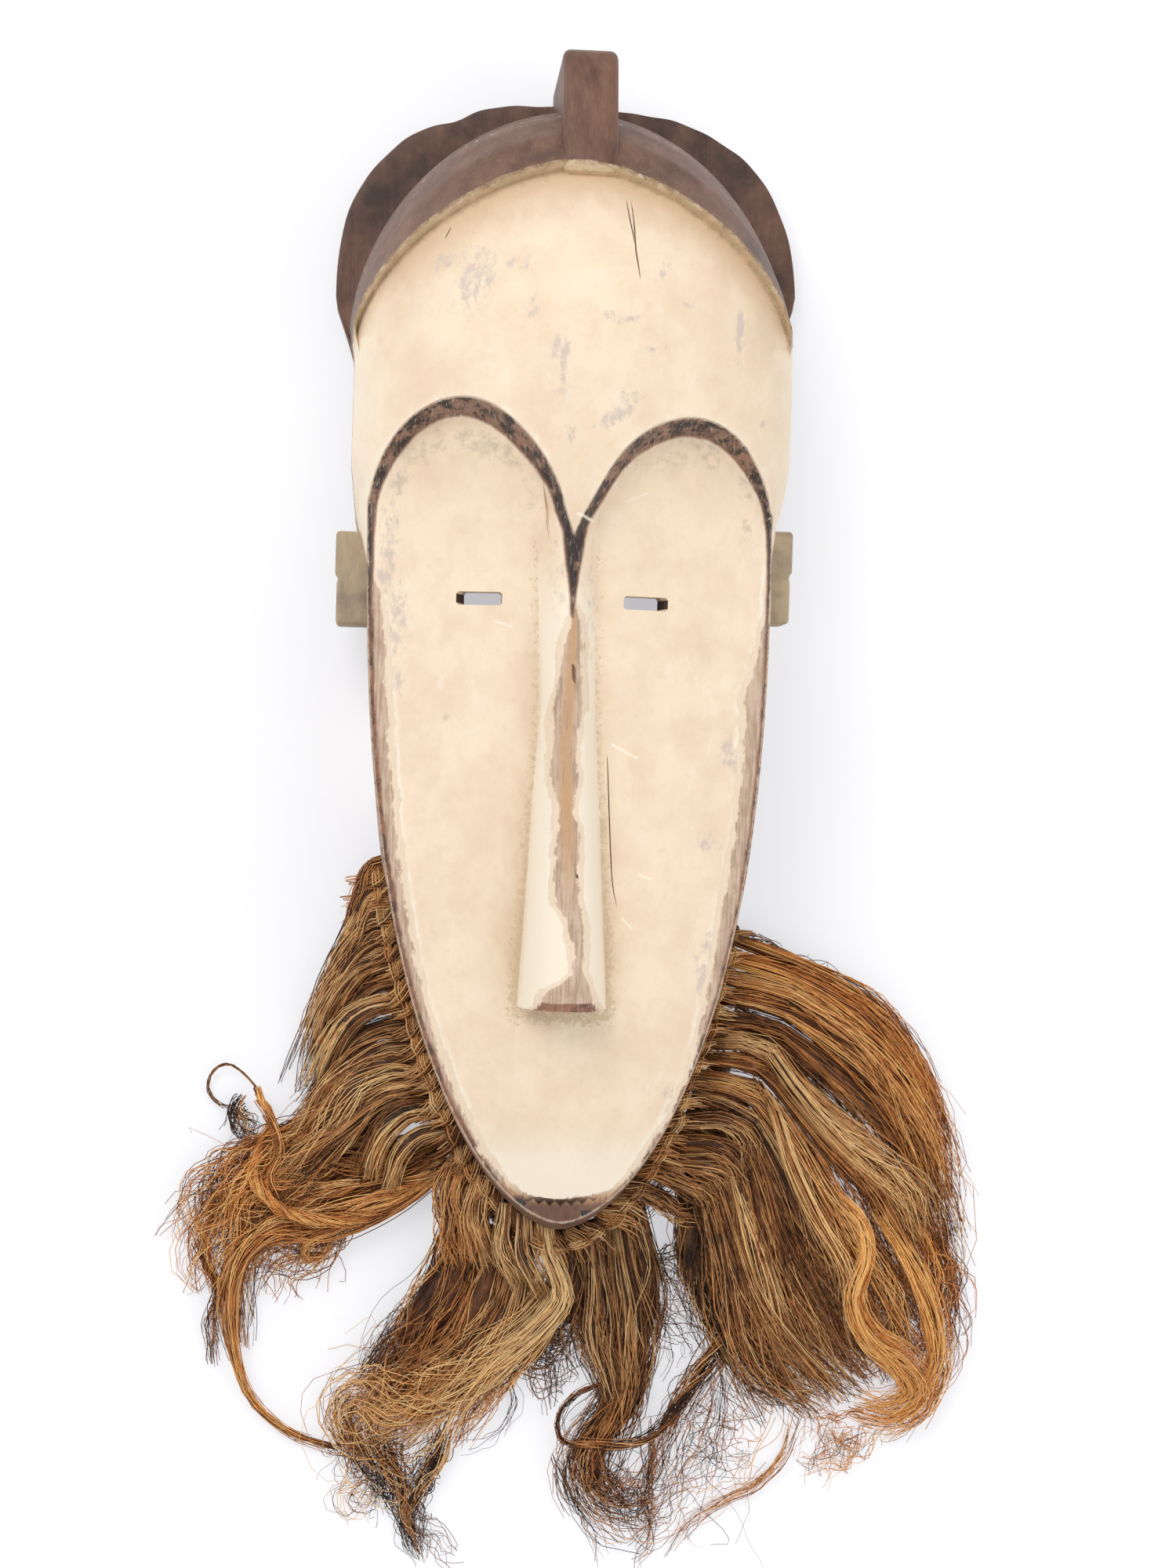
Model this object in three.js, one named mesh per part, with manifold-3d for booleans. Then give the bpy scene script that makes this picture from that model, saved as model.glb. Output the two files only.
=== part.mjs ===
// A Fang mask of pale wood, lying on its back rim with the face up and the chin towards -Y.
// Millimetres. X runs to the viewer's right, Y to the crown, Z out of the face.
import * as THREE from 'three';
import { mergeVertices } from 'three/addons/utils/BufferGeometryUtils.js';
import Module from 'manifold-3d';

const wasm = await Module();
wasm.setup();

// Edge of the face: an oval that narrows to the chin and drifts a little to the right.
const faceOval = { top: 145, bottom: -232, halfWidth: 106.5, centreTop: -2, centreBottom: 4 };
const ovalFullness = 2.5;
const ovalTip = 1.75;

// The two brow arches and the point where they meet, whose tail runs down the nose.
const leftArch = { x: -59.5, y: 146, halfWidth: 49, rise: 51 };
const rightArch = { x: 54.5, y: 142, halfWidth: 49.5, rise: 49 };
const browPoint = { x: -2.6, y: 128 };
const browTailEnd = 92;
const browWidth = 8;
const browSlope = 1.9;

// Cheeks: highest beside the nose, lower towards the edge and the chin.
const cheek = {
  height: 129, sideDrop: 27, chinDrop: 37, roundness: 0.75, lengthwise: 6,
  browRise: 14, riseFrom: 105, riseTo: 190
};

// Forehead: a dome, elliptical across and parabolic along.
const forehead = { x: -2, top: 156, crestY: 225, halfWidth: 118.5, depth: 80, browFall: 10, bandFall: 38 };
const foreheadReach = { brow: 97, band: 95 };

// Nose: a long wedge, narrow between the brows and square at the base.
const nose = {
  top: 128, base: -117, topHeight: 142, baseHeight: 151, fadeFrom: 132, fadeTo: 158,
  topLeft: -20.5, topRight: 9.5, waistY: 40, waistLeft: -16.5, waistRight: 12,
  baseLeft: -23.5, baseRight: 23, tipY: 116, shoulderLeftY: 121, shoulderRightY: 104,
  topRounding: 2, baseRounding: 3.4
};

// Hair band over the forehead and the flat brim behind it.
const bandFoot = { x: -3, y: 229, halfWidth: 115, rise: 91, fullness: 1.58 };
const bandEdge = { x: -3, y: 233, halfWidth: 118, rise: 122, fullness: 1.92 };
const brim = { x: -2.5, y: 262, halfWidth: 127.5, rise: 113, fullness: 2.6 };
const bandStep = 8;
const bandStepWidth = 3;
const bandEdgeHeight = 88;
const bandEdgeEndHeight = 60;
const bandSlope = [[0, 0], [0.5, 0.34], [0.85, 0.74], [1, 1]];
const brimHeight = 14;
const bandLeftEnd = { x: -118, y: 232 };
const bandRightEnd = { x: 113, y: 240 };

// Back rim below the brim, and the hollow inside it.
const rimOval = { top: 110, bottom: -254, halfWidth: 105.5, centreTop: -1, centreBottom: 8 };
const temple = { low: 140, mid: 172, high: 215, leftX: -118.5, rightX: 116, leftLowX: -115, rightLowX: 112 };
const wallThickness = 14;
const hollowDome = { x: -2.5, y: 205, halfWidth: 101, rise: 131, fullness: 2 };
const hollowSquareness = 9;
const hollowDomeFrom = 185;
const hollowDomeTo = 215;
const sideWall = { spread: 3, fall: 1.15, domedTo: 0.6 };

// Openings, ears, crest and mouth.
const eyeSlits = [{ x: -50, y: 95, length: 25 }, { x: 37.5, y: 95, length: 24 }];
const eyeSlitHeight = 7;
const eyeSlitCorner = 1.2;
const ear = { length: 50, depth: 34, height: 45, reach: 17, crease: 2, corner: 4, bury: 8 };
const ears = [{ x: -108, y: 107, side: -1 }, { x: 104.5, y: 115, side: 1 }];
const crest = {
  x: 1.5, width: 29, bevel: 2, foot: 318, top: 387, footHeight: 127, topHeight: 104, round: 7,
  footStep: 12, depth: 44
};
const mouth = {
  x: 1, y: -218, halfWidth: 21, teeth: 8, toothHeight: 3, lip: 4, depth: 3, reach: 27, bow: 3.4, tilt: 38
};

// Raffia fringe: a knotted cord below the rim, and locks that lie spread on the table.
const knotSize = 13;
const knotPitch = 14;
const knotWaist = 0.78;
const cordHeight = 8.4;
const cordClearance = 0.6;
const cordStart = { x: -100, y: -52 };
const cordEnd = { x: 103, y: -80 };
const lockGap = 0.8;
const lockSides = 9;
const lockFlute = 0.84;
const lockTip = { from: 0.72, narrowing: 0.36 };
const lockSwell = { start: 0.22, end: 0.93, early: 0.8 };

const wood = { color: 0xe9d8ba, roughness: 0.82, metalness: 0 };
const raffia = { color: 0x8a6136, roughness: 0.78, metalness: 0 };

const lerp = (a, b, t) => a + (b - a) * t;
const clamp01 = (t) => Math.min(1, Math.max(0, t));
const smooth = (t) => clamp01(t) ** 2 * (3 - 2 * clamp01(t));
const ramp = (a, b, value) => smooth((value - a) / (b - a));
const turn = Math.PI * 2;

// Upper half of a superellipse, from its right end over the top to its left end.
function dome(shape, steps) {
  const points = [];
  for (let i = 0; i <= steps; i += 1) {
    const angle = Math.PI * i / steps;
    const power = 2 / shape.fullness;
    const across = Math.sign(Math.cos(angle)) * Math.abs(Math.cos(angle)) ** power;
    points.push([shape.x + shape.halfWidth * across, shape.y + shape.rise * Math.sin(angle) ** power]);
  }
  return points;
}

// Lower outline from the left end round the chin to the right end.
function lowerOval(oval, steps) {
  const points = [];
  for (let i = 0; i <= steps; i += 1) {
    const angle = Math.PI * i / steps;
    const down = Math.sin(angle) ** 1.25;
    const y = lerp(oval.top, oval.bottom, down);
    const half = oval.halfWidth * (1 - down ** ovalFullness) ** (1 / ovalTip);
    const centre = lerp(oval.centreTop, oval.centreBottom, down);
    points.push([centre - Math.sign(Math.cos(angle)) * half, y]);
  }
  return points;
}

// One arch of the brow, from its right foot to its left foot.
function arch(shape, inset, steps) {
  const points = [];
  for (let i = 0; i <= steps; i += 1) {
    const angle = Math.PI * i / steps;
    const x = shape.x + (shape.halfWidth - inset) * Math.cos(angle);
    points.push([x, shape.y + (shape.rise - inset) * Math.sin(angle)]);
  }
  return points;
}

const heartTop = [
  ...arch(rightArch, 0, 16), [browPoint.x, browPoint.y], ...arch(leftArch, 0, 16), ...lowerOval(faceOval, 40)
];
const browLine = heartTop.slice(0, 35);
const heartFoot = [
  ...arch(rightArch, browWidth, 16), [nose.topRight, browPoint.y], [nose.topLeft, browPoint.y],
  ...arch(leftArch, browWidth, 16), ...lowerOval(faceOval, 40)
];
const noseFoot = [
  [nose.waistRight, nose.waistY], [nose.topRight, nose.shoulderRightY], [browPoint.x, nose.tipY],
  [nose.topLeft, nose.shoulderLeftY], [nose.waistLeft, nose.waistY], [nose.baseLeft, nose.base],
  [nose.baseRight, nose.base]
];
const leftTemple = [[temple.leftX, temple.high], [temple.leftX, temple.mid], [temple.leftLowX, temple.low]];
const rightTemple = [
  [temple.rightLowX, temple.low], [temple.rightX, temple.mid], [temple.rightX, temple.high]
];
const sideRim = [
  [temple.rightX, brim.y], [temple.leftX, brim.y], ...leftTemple, ...lowerOval(rimOval, 40), ...rightTemple
];
const rimOutline = [
  ...dome(brim, 40), [bandLeftEnd.x - 1, bandLeftEnd.y - 6], ...leftTemple,
  ...lowerOval(rimOval, 40), ...rightTemple, [bandRightEnd.x + 3, bandRightEnd.y - 4]
];
const hollowOval = {
  ...rimOval, bottom: rimOval.bottom + wallThickness, halfWidth: rimOval.halfWidth - wallThickness
};
const hollowOutline = [...dome(hollowDome, 24), ...lowerOval(hollowOval, 30)];

// Distance from the centre of the face to a closed outline in one direction.
function radiusAt(outline, angle) {
  const dx = Math.cos(angle);
  const dy = Math.sin(angle);
  let best = 0;
  for (let i = 0; i < outline.length; i += 1) {
    const [ax, ay] = outline[i];
    const [bx, by] = outline[(i + 1) % outline.length];
    const cross = dx * (by - ay) - dy * (bx - ax);
    if (Math.abs(cross) < 1e-9) continue;
    const along = (ax * (by - ay) - ay * (bx - ax)) / cross;
    const share = (ax * dy - ay * dx) / cross;
    if (along > best && share > -1e-6 && share < 1 + 1e-6) best = along;
  }
  return best;
}

// Nearest point on the brow line, as its distance.
function distanceTo(line, x, y) {
  let best = Infinity;
  for (let i = 0; i + 1 < line.length; i += 1) {
    const [ax, ay] = line[i];
    const [bx, by] = line[i + 1];
    const length = (bx - ax) ** 2 + (by - ay) ** 2;
    const share = length < 1e-9 ? 0 : clamp01(((x - ax) * (bx - ax) + (y - ay) * (by - ay)) / length);
    best = Math.min(best, Math.hypot(x - ax - share * (bx - ax), y - ay - share * (by - ay)));
  }
  return best;
}

function foreheadHeight(x, y) {
  const across = clamp01(Math.abs(x - forehead.x) / forehead.halfWidth);
  const below = y < forehead.crestY;
  const along = (y - forehead.crestY) / (below ? foreheadReach.brow : foreheadReach.band);
  const fall = (below ? forehead.browFall : forehead.bandFall) * along * along;
  return forehead.top - fall - forehead.depth * (1 - Math.sqrt(1 - across * across));
}

function cheekSurface(x, y) {
  const down = clamp01((faceOval.top - y) / (faceOval.top - faceOval.bottom));
  const centre = lerp(faceOval.centreTop, faceOval.centreBottom, down);
  const across = Math.abs(x - centre) / faceOval.halfWidth;
  const outward = (down ** cheek.lengthwise + across ** ovalTip) ** cheek.roundness;
  const rise = cheek.browRise * ramp(cheek.riseFrom, cheek.riseTo, y) * Math.max(0, 1 - across ** 3);
  return cheek.height - lerp(cheek.sideDrop, cheek.chinDrop, down) * outward + rise;
}

function noseSurface(x, y) {
  const low = clamp01((nose.waistY - y) / (nose.waistY - nose.base));
  const high = clamp01((y - nose.waistY) / (nose.top - nose.waistY));
  const upper = y > nose.waistY;
  const left = lerp(nose.waistLeft, upper ? nose.topLeft : nose.baseLeft, upper ? high : low);
  const right = lerp(nose.waistRight, upper ? nose.topRight : nose.baseRight, upper ? high : low);
  const across = Math.abs(2 * x - left - right) / (right - left);
  const ridge = lerp(nose.topHeight, nose.baseHeight, clamp01((nose.top - y) / (nose.top - nose.base)));
  const foot = cheekSurface(x, y) - 1;
  const fade = 1 - ramp(nose.fadeFrom, nose.fadeTo, y);
  if (y < nose.base - 0.01) return foot;
  return foot + (ridge - foot) * fade * (1 - across ** lerp(nose.topRounding, nose.baseRounding, low));
}

// Walls under the brow line, and the tail that runs down the nose from the brow point.
function browSurface(x, y) {
  const wall = foreheadHeight(x, y) - distanceTo(browLine, x, y) * browSlope;
  const share = clamp01((y - browTailEnd) / (browPoint.y - browTailEnd));
  const tail = lerp(nose.topHeight, foreheadHeight(browPoint.x, browPoint.y), share);
  const tailSide = tail - Math.abs(x - browPoint.x) * browSlope;
  return Math.max(y > browTailEnd ? wall : 0, y > browTailEnd - 8 ? tailSide : 0);
}

function faceSurface(x, y) {
  return Math.max(cheekSurface(x, y), noseSurface(x, y), browSurface(x, y));
}

// Directions in which the surface is drawn, closer together at the brow point, chin and band ends.
function fanAngles(count) {
  const crowds = [[90, 16, 2.6], [270, 16, 1.4], [117, 5, 1.6], [65, 5, 1.6], [128, 8, 0.6], [50, 8, 0.6]];
  const weights = [];
  let total = 0;
  for (let degree = 0; degree < 360; degree += 0.25) {
    let weight = 1;
    for (const [at, spread, gain] of crowds) {
      weight += gain * Math.exp(-(((degree - at) / spread) ** 2));
    }
    total += weight;
    weights.push(total);
  }
  const angles = [];
  let index = 0;
  for (let i = 0; i < count; i += 1) {
    while (weights[index] < total * (i + 0.5) / count) index += 1;
    angles.push(index * 0.25 * turn / 360);
  }
  const corners = [
    [browPoint.x, browPoint.y], [nose.baseLeft, nose.base], [nose.baseRight, nose.base],
    [nose.topLeft, nose.shoulderLeftY], [nose.topRight, nose.shoulderRightY],
    [faceOval.centreBottom, faceOval.bottom]
  ];
  for (const [x, y] of corners) {
    const exact = (Math.atan2(y, x) + turn) % turn;
    let nearest = 0;
    for (let i = 1; i < count; i += 1) {
      if (Math.abs(angles[i] - exact) < Math.abs(angles[nearest] - exact)) nearest = i;
    }
    angles[nearest] = exact;
  }
  return angles;
}

// Everything that is known about one direction.
function castRay(angle) {
  const degrees = angle * 360 / turn;
  const leftEnd = Math.atan2(bandLeftEnd.y, bandLeftEnd.x) * 360 / turn;
  const rightEnd = Math.atan2(bandRightEnd.y, bandRightEnd.x) * 360 / turn;
  const pastRight = ramp(rightEnd - 0.6, rightEnd + 0.6, degrees);
  const pastLeft = ramp(leftEnd - 0.6, leftEnd + 0.6, degrees);
  const ray = { cos: Math.cos(angle), sin: Math.sin(angle), banded: pastRight * (1 - pastLeft) };
  ray.top = radiusAt(heartTop, angle);
  ray.nose = Math.min(radiusAt(noseFoot, angle), ray.top - 6);
  ray.foot = Math.min(Math.max(radiusAt(heartFoot, angle), ray.nose + 1), ray.top - 1);
  const overBrow = ramp(faceOval.top - 8, faceOval.top + 8, ray.top * ray.sin);
  ray.browed = ray.sin > 0 ? Math.max(overBrow, 1 - ramp(70, 90, Math.abs(ray.top * ray.cos))) : 0;
  ray.rim = radiusAt(rimOutline, angle);
  ray.side = radiusAt(sideRim, angle);
  ray.hollow = radiusAt(hollowOutline, angle);
  ray.band = radiusAt(dome(bandFoot, 40), angle) || ray.side;
  ray.edge = radiusAt(dome(bandEdge, 40), angle) || ray.side;
  return ray;
}

// Height of the edge that divides the face from the forehead or the side wall.
function edgeHeight(ray) {
  const x = ray.top * ray.cos;
  const y = ray.top * ray.sin;
  return lerp(cheekSurface(x, y), foreheadHeight(x, y), ray.browed);
}

// Side wall from the edge of the face down to the back rim, for directions below the band.
function sidePoint(ray, down) {
  const radius = lerp(ray.top, ray.side, 1 - (1 - down) ** sideWall.spread);
  const straight = lerp(edgeHeight(ray), 0, down ** sideWall.fall);
  const domed = foreheadHeight(radius * ray.cos, radius * ray.sin) * ray.browed;
  return [radius, down < sideWall.domedTo ? Math.max(straight, domed) : straight];
}

// Rings over the forehead, the hair band and the brim.
function crownRings(ray) {
  const rings = [];
  for (const share of [0.1, 0.26, 0.45, 0.64, 0.82, 1]) {
    const radius = lerp(ray.top, ray.band, share);
    rings.push([radius, foreheadHeight(radius * ray.cos, radius * ray.sin)]);
  }
  const inner = ray.band + bandStepWidth;
  const high = rings[rings.length - 1][1] + bandStep;
  const centred = 1 - clamp01(Math.abs(ray.edge * ray.cos - bandEdge.x) / bandEdge.halfWidth) ** 2.4;
  const low = lerp(bandEdgeEndHeight, bandEdgeHeight, centred);
  const edge = Math.max(ray.edge, inner + 1);
  const rim = Math.max(ray.rim, edge + 1);
  for (const [out, down] of bandSlope) rings.push([lerp(inner, edge, out), lerp(high, low, down)]);
  rings.push([edge + 1, lerp(low, brimHeight, 0.4)], [edge, brimHeight + 1], [rim, brimHeight], [rim, 0]);
  return rings;
}

// Rings of the outer skin as [radius, height] pairs, from the middle of the nose to the rim.
function outerRings(ray) {
  const surfaceRing = (radius) => [radius, faceSurface(radius * ray.cos, radius * ray.sin)];
  const rings = [0.35, 0.65, 0.87, 0.98].map((share) => surfaceRing(ray.nose * share));
  for (const share of [0, 0.15, 0.38, 0.65, 1]) {
    rings.push(surfaceRing(lerp(ray.nose + 0.02, ray.foot, share)));
  }
  rings.push([ray.top, edgeHeight(ray)]);
  const crown = crownRings(ray);
  const drops = [0.03, 0.08, 0.15, 0.23, 0.31, 0.39, 0.46, 0.53, 0.6, 0.68, 0.77, 0.86, 0.94, 1];
  drops.forEach((down, i) => {
    const side = sidePoint(ray, down);
    rings.push([lerp(side[0], crown[i][0], ray.banded), lerp(side[1], crown[i][1], ray.banded)]);
  });
  return rings;
}

// Ceiling of the hollow: one wall thickness behind the face, rounded down to the rim.
function ceilingHeight(x, y, share) {
  const skin = lerp(cheekSurface(x, y), foreheadHeight(x, y), ramp(hollowDomeFrom, hollowDomeTo, y));
  return (skin - wallThickness) * Math.sqrt(1 - share ** hollowSquareness);
}

// Rings of the hollow, from the rim's inner edge up to the middle of the ceiling.
function innerRings(ray) {
  const rings = [[ray.hollow, 0]];
  for (const share of [0.997, 0.97, 0.91, 0.8, 0.62, 0.4, 0.18]) {
    const radius = ray.hollow * share;
    rings.push([radius, ceilingHeight(radius * ray.cos, radius * ray.sin, share)]);
  }
  return rings;
}

// The shell is a sphere whose upper half becomes the outer skin and lower half the hollow.
function shellGeometry(count) {
  const rays = fanAngles(count).map(castRay);
  const columns = rays.map((ray) => [...outerRings(ray), ...innerRings(ray)]);
  const rows = columns[0].length;
  const geometry = new THREE.SphereGeometry(1, count, rows + 1);
  const position = geometry.attributes.position;
  for (let row = 0; row <= rows + 1; row += 1) {
    for (let i = 0; i <= count; i += 1) {
      const vertex = row * (count + 1) + i;
      if (row === 0) position.setXYZ(vertex, 0, 0, noseSurface(0, 0));
      else if (row === rows + 1) position.setXYZ(vertex, 0, 0, ceilingHeight(0, 0, 0));
      else {
        const ray = rays[i % count];
        const [radius, height] = columns[i % count][row - 1];
        position.setXYZ(vertex, radius * ray.cos, radius * ray.sin, height);
      }
    }
  }
  return geometry;
}

// Closed solids for joining and cutting, and back again.
function toSolid(geometry) {
  geometry.deleteAttribute('normal');
  geometry.deleteAttribute('uv');
  const merged = mergeVertices(geometry, 1e-4);
  const vertProperties = new Float32Array(merged.attributes.position.array);
  const triVerts = new Uint32Array(merged.index.array);
  if (signedVolume(vertProperties, triVerts) < 0) {
    for (let i = 0; i < triVerts.length; i += 3) {
      [triVerts[i], triVerts[i + 1]] = [triVerts[i + 1], triVerts[i]];
    }
  }
  return new wasm.Manifold(new wasm.Mesh({ numProp: 3, vertProperties, triVerts }));
}

function signedVolume(points, triangles) {
  const corner = (i) => new THREE.Vector3().fromArray(points, triangles[i] * 3);
  let volume = 0;
  for (let i = 0; i < triangles.length; i += 3) {
    volume += corner(i).dot(corner(i + 1).cross(corner(i + 2)));
  }
  return volume;
}

function toGeometry(solid) {
  const mesh = solid.getMesh();
  const geometry = new THREE.BufferGeometry();
  const positions = new Float32Array(mesh.vertProperties);
  geometry.setAttribute('position', new THREE.BufferAttribute(positions, 3));
  geometry.setIndex(new THREE.BufferAttribute(new Uint32Array(mesh.triVerts), 1));
  return geometry;
}

// Outline in X and Y, extruded upwards.
function prism(points, low, high) {
  const shape = new THREE.Shape(points.map(([x, y]) => new THREE.Vector2(x, y)));
  const geometry = new THREE.ExtrudeGeometry(shape, { depth: high - low, bevelEnabled: false });
  geometry.translate(0, 0, low);
  return toSolid(geometry);
}

function eyeSlit(slit) {
  const x = slit.length / 2;
  const y = eyeSlitHeight / 2;
  const cut = eyeSlitCorner;
  const outline = [[-x, -y + cut], [-x + cut, -y], [x - cut, -y], [x, -y + cut], [x, y - cut], [x - cut, y],
    [-x + cut, y], [-x, y - cut]];
  return prism(outline.map(([px, py]) => [px + slit.x, py + slit.y]), 50, 160);
}

// Ear: an upright block on the side wall with a crease across its outer edge.
function earBlock(place) {
  const half = ear.length / 2;
  const outer = ear.reach;
  const c = ear.corner;
  const outline = [
    [-ear.bury, half], [outer - c, half], [outer, half - c], [outer, ear.crease], [outer - 2, 0],
    [outer - 1, -ear.crease], [outer - 1, -half + c], [outer - 1 - c, -half], [-ear.bury, -half]
  ];
  const block = outline.map(([x, y]) => [place.x + place.side * x, place.y + y]);
  if (place.side > 0) block.reverse();
  return prism(block, ear.height - ear.depth / 2, ear.height + ear.depth / 2);
}

// Crest: a bar along the crown, drawn as its side view in Y and Z and extruded across.
function crestBar() {
  const c = crest;
  const small = c.round * 0.4;
  const side = [
    [c.foot - small, c.footHeight - c.footStep], [c.foot, c.footHeight - small],
    [c.foot + small, c.footHeight], [c.top - c.round, c.topHeight + small],
    [c.top - small, c.topHeight], [c.top, c.topHeight - c.round],
    [c.top - small, brimHeight / 2], [c.top - c.depth, brimHeight / 2], [c.top - c.depth, c.topHeight / 2]
  ];
  const shape = new THREE.Shape(side.map(([y, z]) => new THREE.Vector2(y, z)));
  const bevel = c.bevel;
  const geometry = new THREE.ExtrudeGeometry(shape, {
    depth: c.width - 2 * bevel, bevelEnabled: true, bevelSegments: 1,
    bevelSize: bevel, bevelThickness: bevel, bevelOffset: -bevel
  });
  geometry.translate(0, 0, -(c.width - 2 * bevel) / 2);
  const turnUp = new THREE.Matrix4().makeBasis(
    new THREE.Vector3(0, 1, 0), new THREE.Vector3(0, 0, 1), new THREE.Vector3(1, 0, 0)
  );
  geometry.applyMatrix4(turnUp);
  geometry.translate(c.x, 0, 0);
  return toSolid(geometry);
}

// Mouth: a shallow bed between the lips whose lower edge is a row of teeth.
function mouthBed() {
  const { halfWidth, teeth, toothHeight, lip, depth, reach, tilt } = mouth;
  const points = [];
  const bow = (x) => mouth.bow * (x / halfWidth) ** 2;
  for (let i = 0; i <= 2 * teeth; i += 1) {
    const x = lerp(-halfWidth, halfWidth, i / (2 * teeth));
    points.push([x, bow(x) + (i % 2 ? toothHeight : 0) - toothHeight]);
  }
  for (let i = 8; i >= 0; i -= 1) {
    const x = lerp(-halfWidth, halfWidth, i / 8);
    points.push([x, bow(x) + lip]);
  }
  const shape = new THREE.Shape(points.map(([x, y]) => new THREE.Vector2(x, y)));
  const geometry = new THREE.ExtrudeGeometry(shape, { depth: depth + reach, bevelEnabled: false });
  geometry.translate(0, 0, -depth);
  geometry.rotateX(tilt * turn / 360);
  geometry.translate(mouth.x, mouth.y, cheekSurface(mouth.x, mouth.y));
  return toSolid(geometry);
}

function carvedMask() {
  let solid = toSolid(shellGeometry(88));
  solid = solid.add(crestBar());
  for (const place of ears) solid = solid.add(earBlock(place));
  for (const slit of eyeSlits) solid = solid.subtract(eyeSlit(slit));
  solid = solid.subtract(mouthBed());
  return toGeometry(solid);
}

// Point outside the rim in one direction, at a distance measured square to the rim.
function outsideRim(angle, distance, height) {
  const radius = radiusAt(rimOutline, angle);
  const slope = (radiusAt(rimOutline, angle + 0.02) - radiusAt(rimOutline, angle - 0.02)) / (0.04 * radius);
  const out = radius + distance * Math.hypot(1, slope);
  return new THREE.Vector3(out * Math.cos(angle), out * Math.sin(angle), height);
}

const angleOf = (x, y) => (Math.atan2(y, x) + turn) % turn;
const cordAngle = (share) => lerp(angleOf(cordStart.x, cordStart.y), angleOf(cordEnd.x, cordEnd.y), share);

// Row of knots that follows the rim under the cheeks and chin.
function cordRoute() {
  const points = [];
  const steps = 40;
  for (let i = 0; i <= steps; i += 1) {
    points.push(outsideRim(cordAngle(i / steps), knotSize / 2 + cordClearance, cordHeight));
  }
  return new THREE.CatmullRomCurve3(points);
}

// Closed solid through a row of rings, each a list of the same number of points.
function loft(rings) {
  const sides = rings[0].length;
  const last = (rings.length - 1) * sides;
  const index = [];
  for (let i = 0; i < last; i += sides) {
    for (let j = 0; j < sides; j += 1) {
      const next = (j + 1) % sides;
      index.push(i + j, i + next, i + sides + j, i + next, i + sides + next, i + sides + j);
    }
  }
  for (let j = 1; j + 1 < sides; j += 1) {
    index.push(0, j + 1, j, last, last + j, last + j + 1);
  }
  const geometry = new THREE.BufferGeometry().setFromPoints(rings.flat());
  geometry.setIndex(index);
  return toGeometry(toSolid(geometry));
}

function beardCord() {
  const route = cordRoute();
  const knots = Math.round(route.getLength() / knotPitch);
  const sides = 6;
  const up = new THREE.Vector3(0, 0, 1);
  const rings = [];
  for (let i = 0; i <= knots * 2; i += 1) {
    const centre = route.getPointAt(i / (knots * 2));
    const across = route.getTangentAt(i / (knots * 2)).cross(up).normalize();
    const radius = knotSize / 2 * (i % 2 ? 1 : knotWaist);
    const ring = [];
    for (let j = 0; j < sides; j += 1) {
      const angle = turn * (j + 0.5) / sides;
      const point = centre.clone().addScaledVector(across, radius * Math.cos(angle));
      ring.push(point.addScaledVector(up, radius * Math.sin(angle)));
    }
    rings.push(ring);
  }
  return loft(rings);
}

// Where a lock leaves the cord, at one share of the cord's length.
const lockStart = (share) => outsideRim(cordAngle(share), knotSize + 2 * cordClearance + 1, 0);

// A guide line of the fringe, from the cord to the tips on the table.
function guideLine(guide) {
  const through = guide.through.map(([x, y]) => new THREE.Vector3(x, y, 0));
  return new THREE.CatmullRomCurve3([lockStart(guide.share), ...through]);
}

// A lock of raffia: a fluted half-round body between two guide lines, fitted to the bow of the cord.
function lockGeometry(fan, index) {
  const [outer, inner] = fan.guides;
  const first = guideLine(outer);
  const second = guideLine(inner);
  const between = (across, along) => {
    const point = first.getPoint(along).lerp(second.getPoint(along), across);
    const chord = lockStart(outer.share).lerp(lockStart(inner.share), across);
    const bow = lockStart(lerp(outer.share, inner.share, across)).sub(chord);
    return point.addScaledVector(bow, (1 - along) ** 3);
  };
  const rings = [];
  for (let i = 0; i <= fan.steps; i += 1) {
    const along = i / fan.steps;
    const width = between(0, along).distanceTo(between(1, along)) / fan.count;
    const inset = Math.min(0.3, lockGap / 2 / width) / fan.count;
    const taper = lockTip.narrowing / fan.count * ramp(lockTip.from, 1, along);
    const left = index / fan.count + inset + taper;
    const right = (index + 1) / fan.count - inset - taper;
    const swell = lerp(lockSwell.start, lockSwell.end, along ** lockSwell.early);
    const high = fan.height * Math.sin(Math.PI * swell);
    const ring = [];
    for (let j = 0; j < lockSides; j += 1) {
      const angle = Math.PI * j / (lockSides - 1);
      const point = between(lerp(left, right, (1 - Math.cos(angle)) / 2), along);
      point.z = lockGap + high * Math.sin(angle) * (j % 2 ? 1 : lockFlute);
      ring.push(point);
    }
    rings.push(ring);
  }
  return loft(rings);
}

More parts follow.
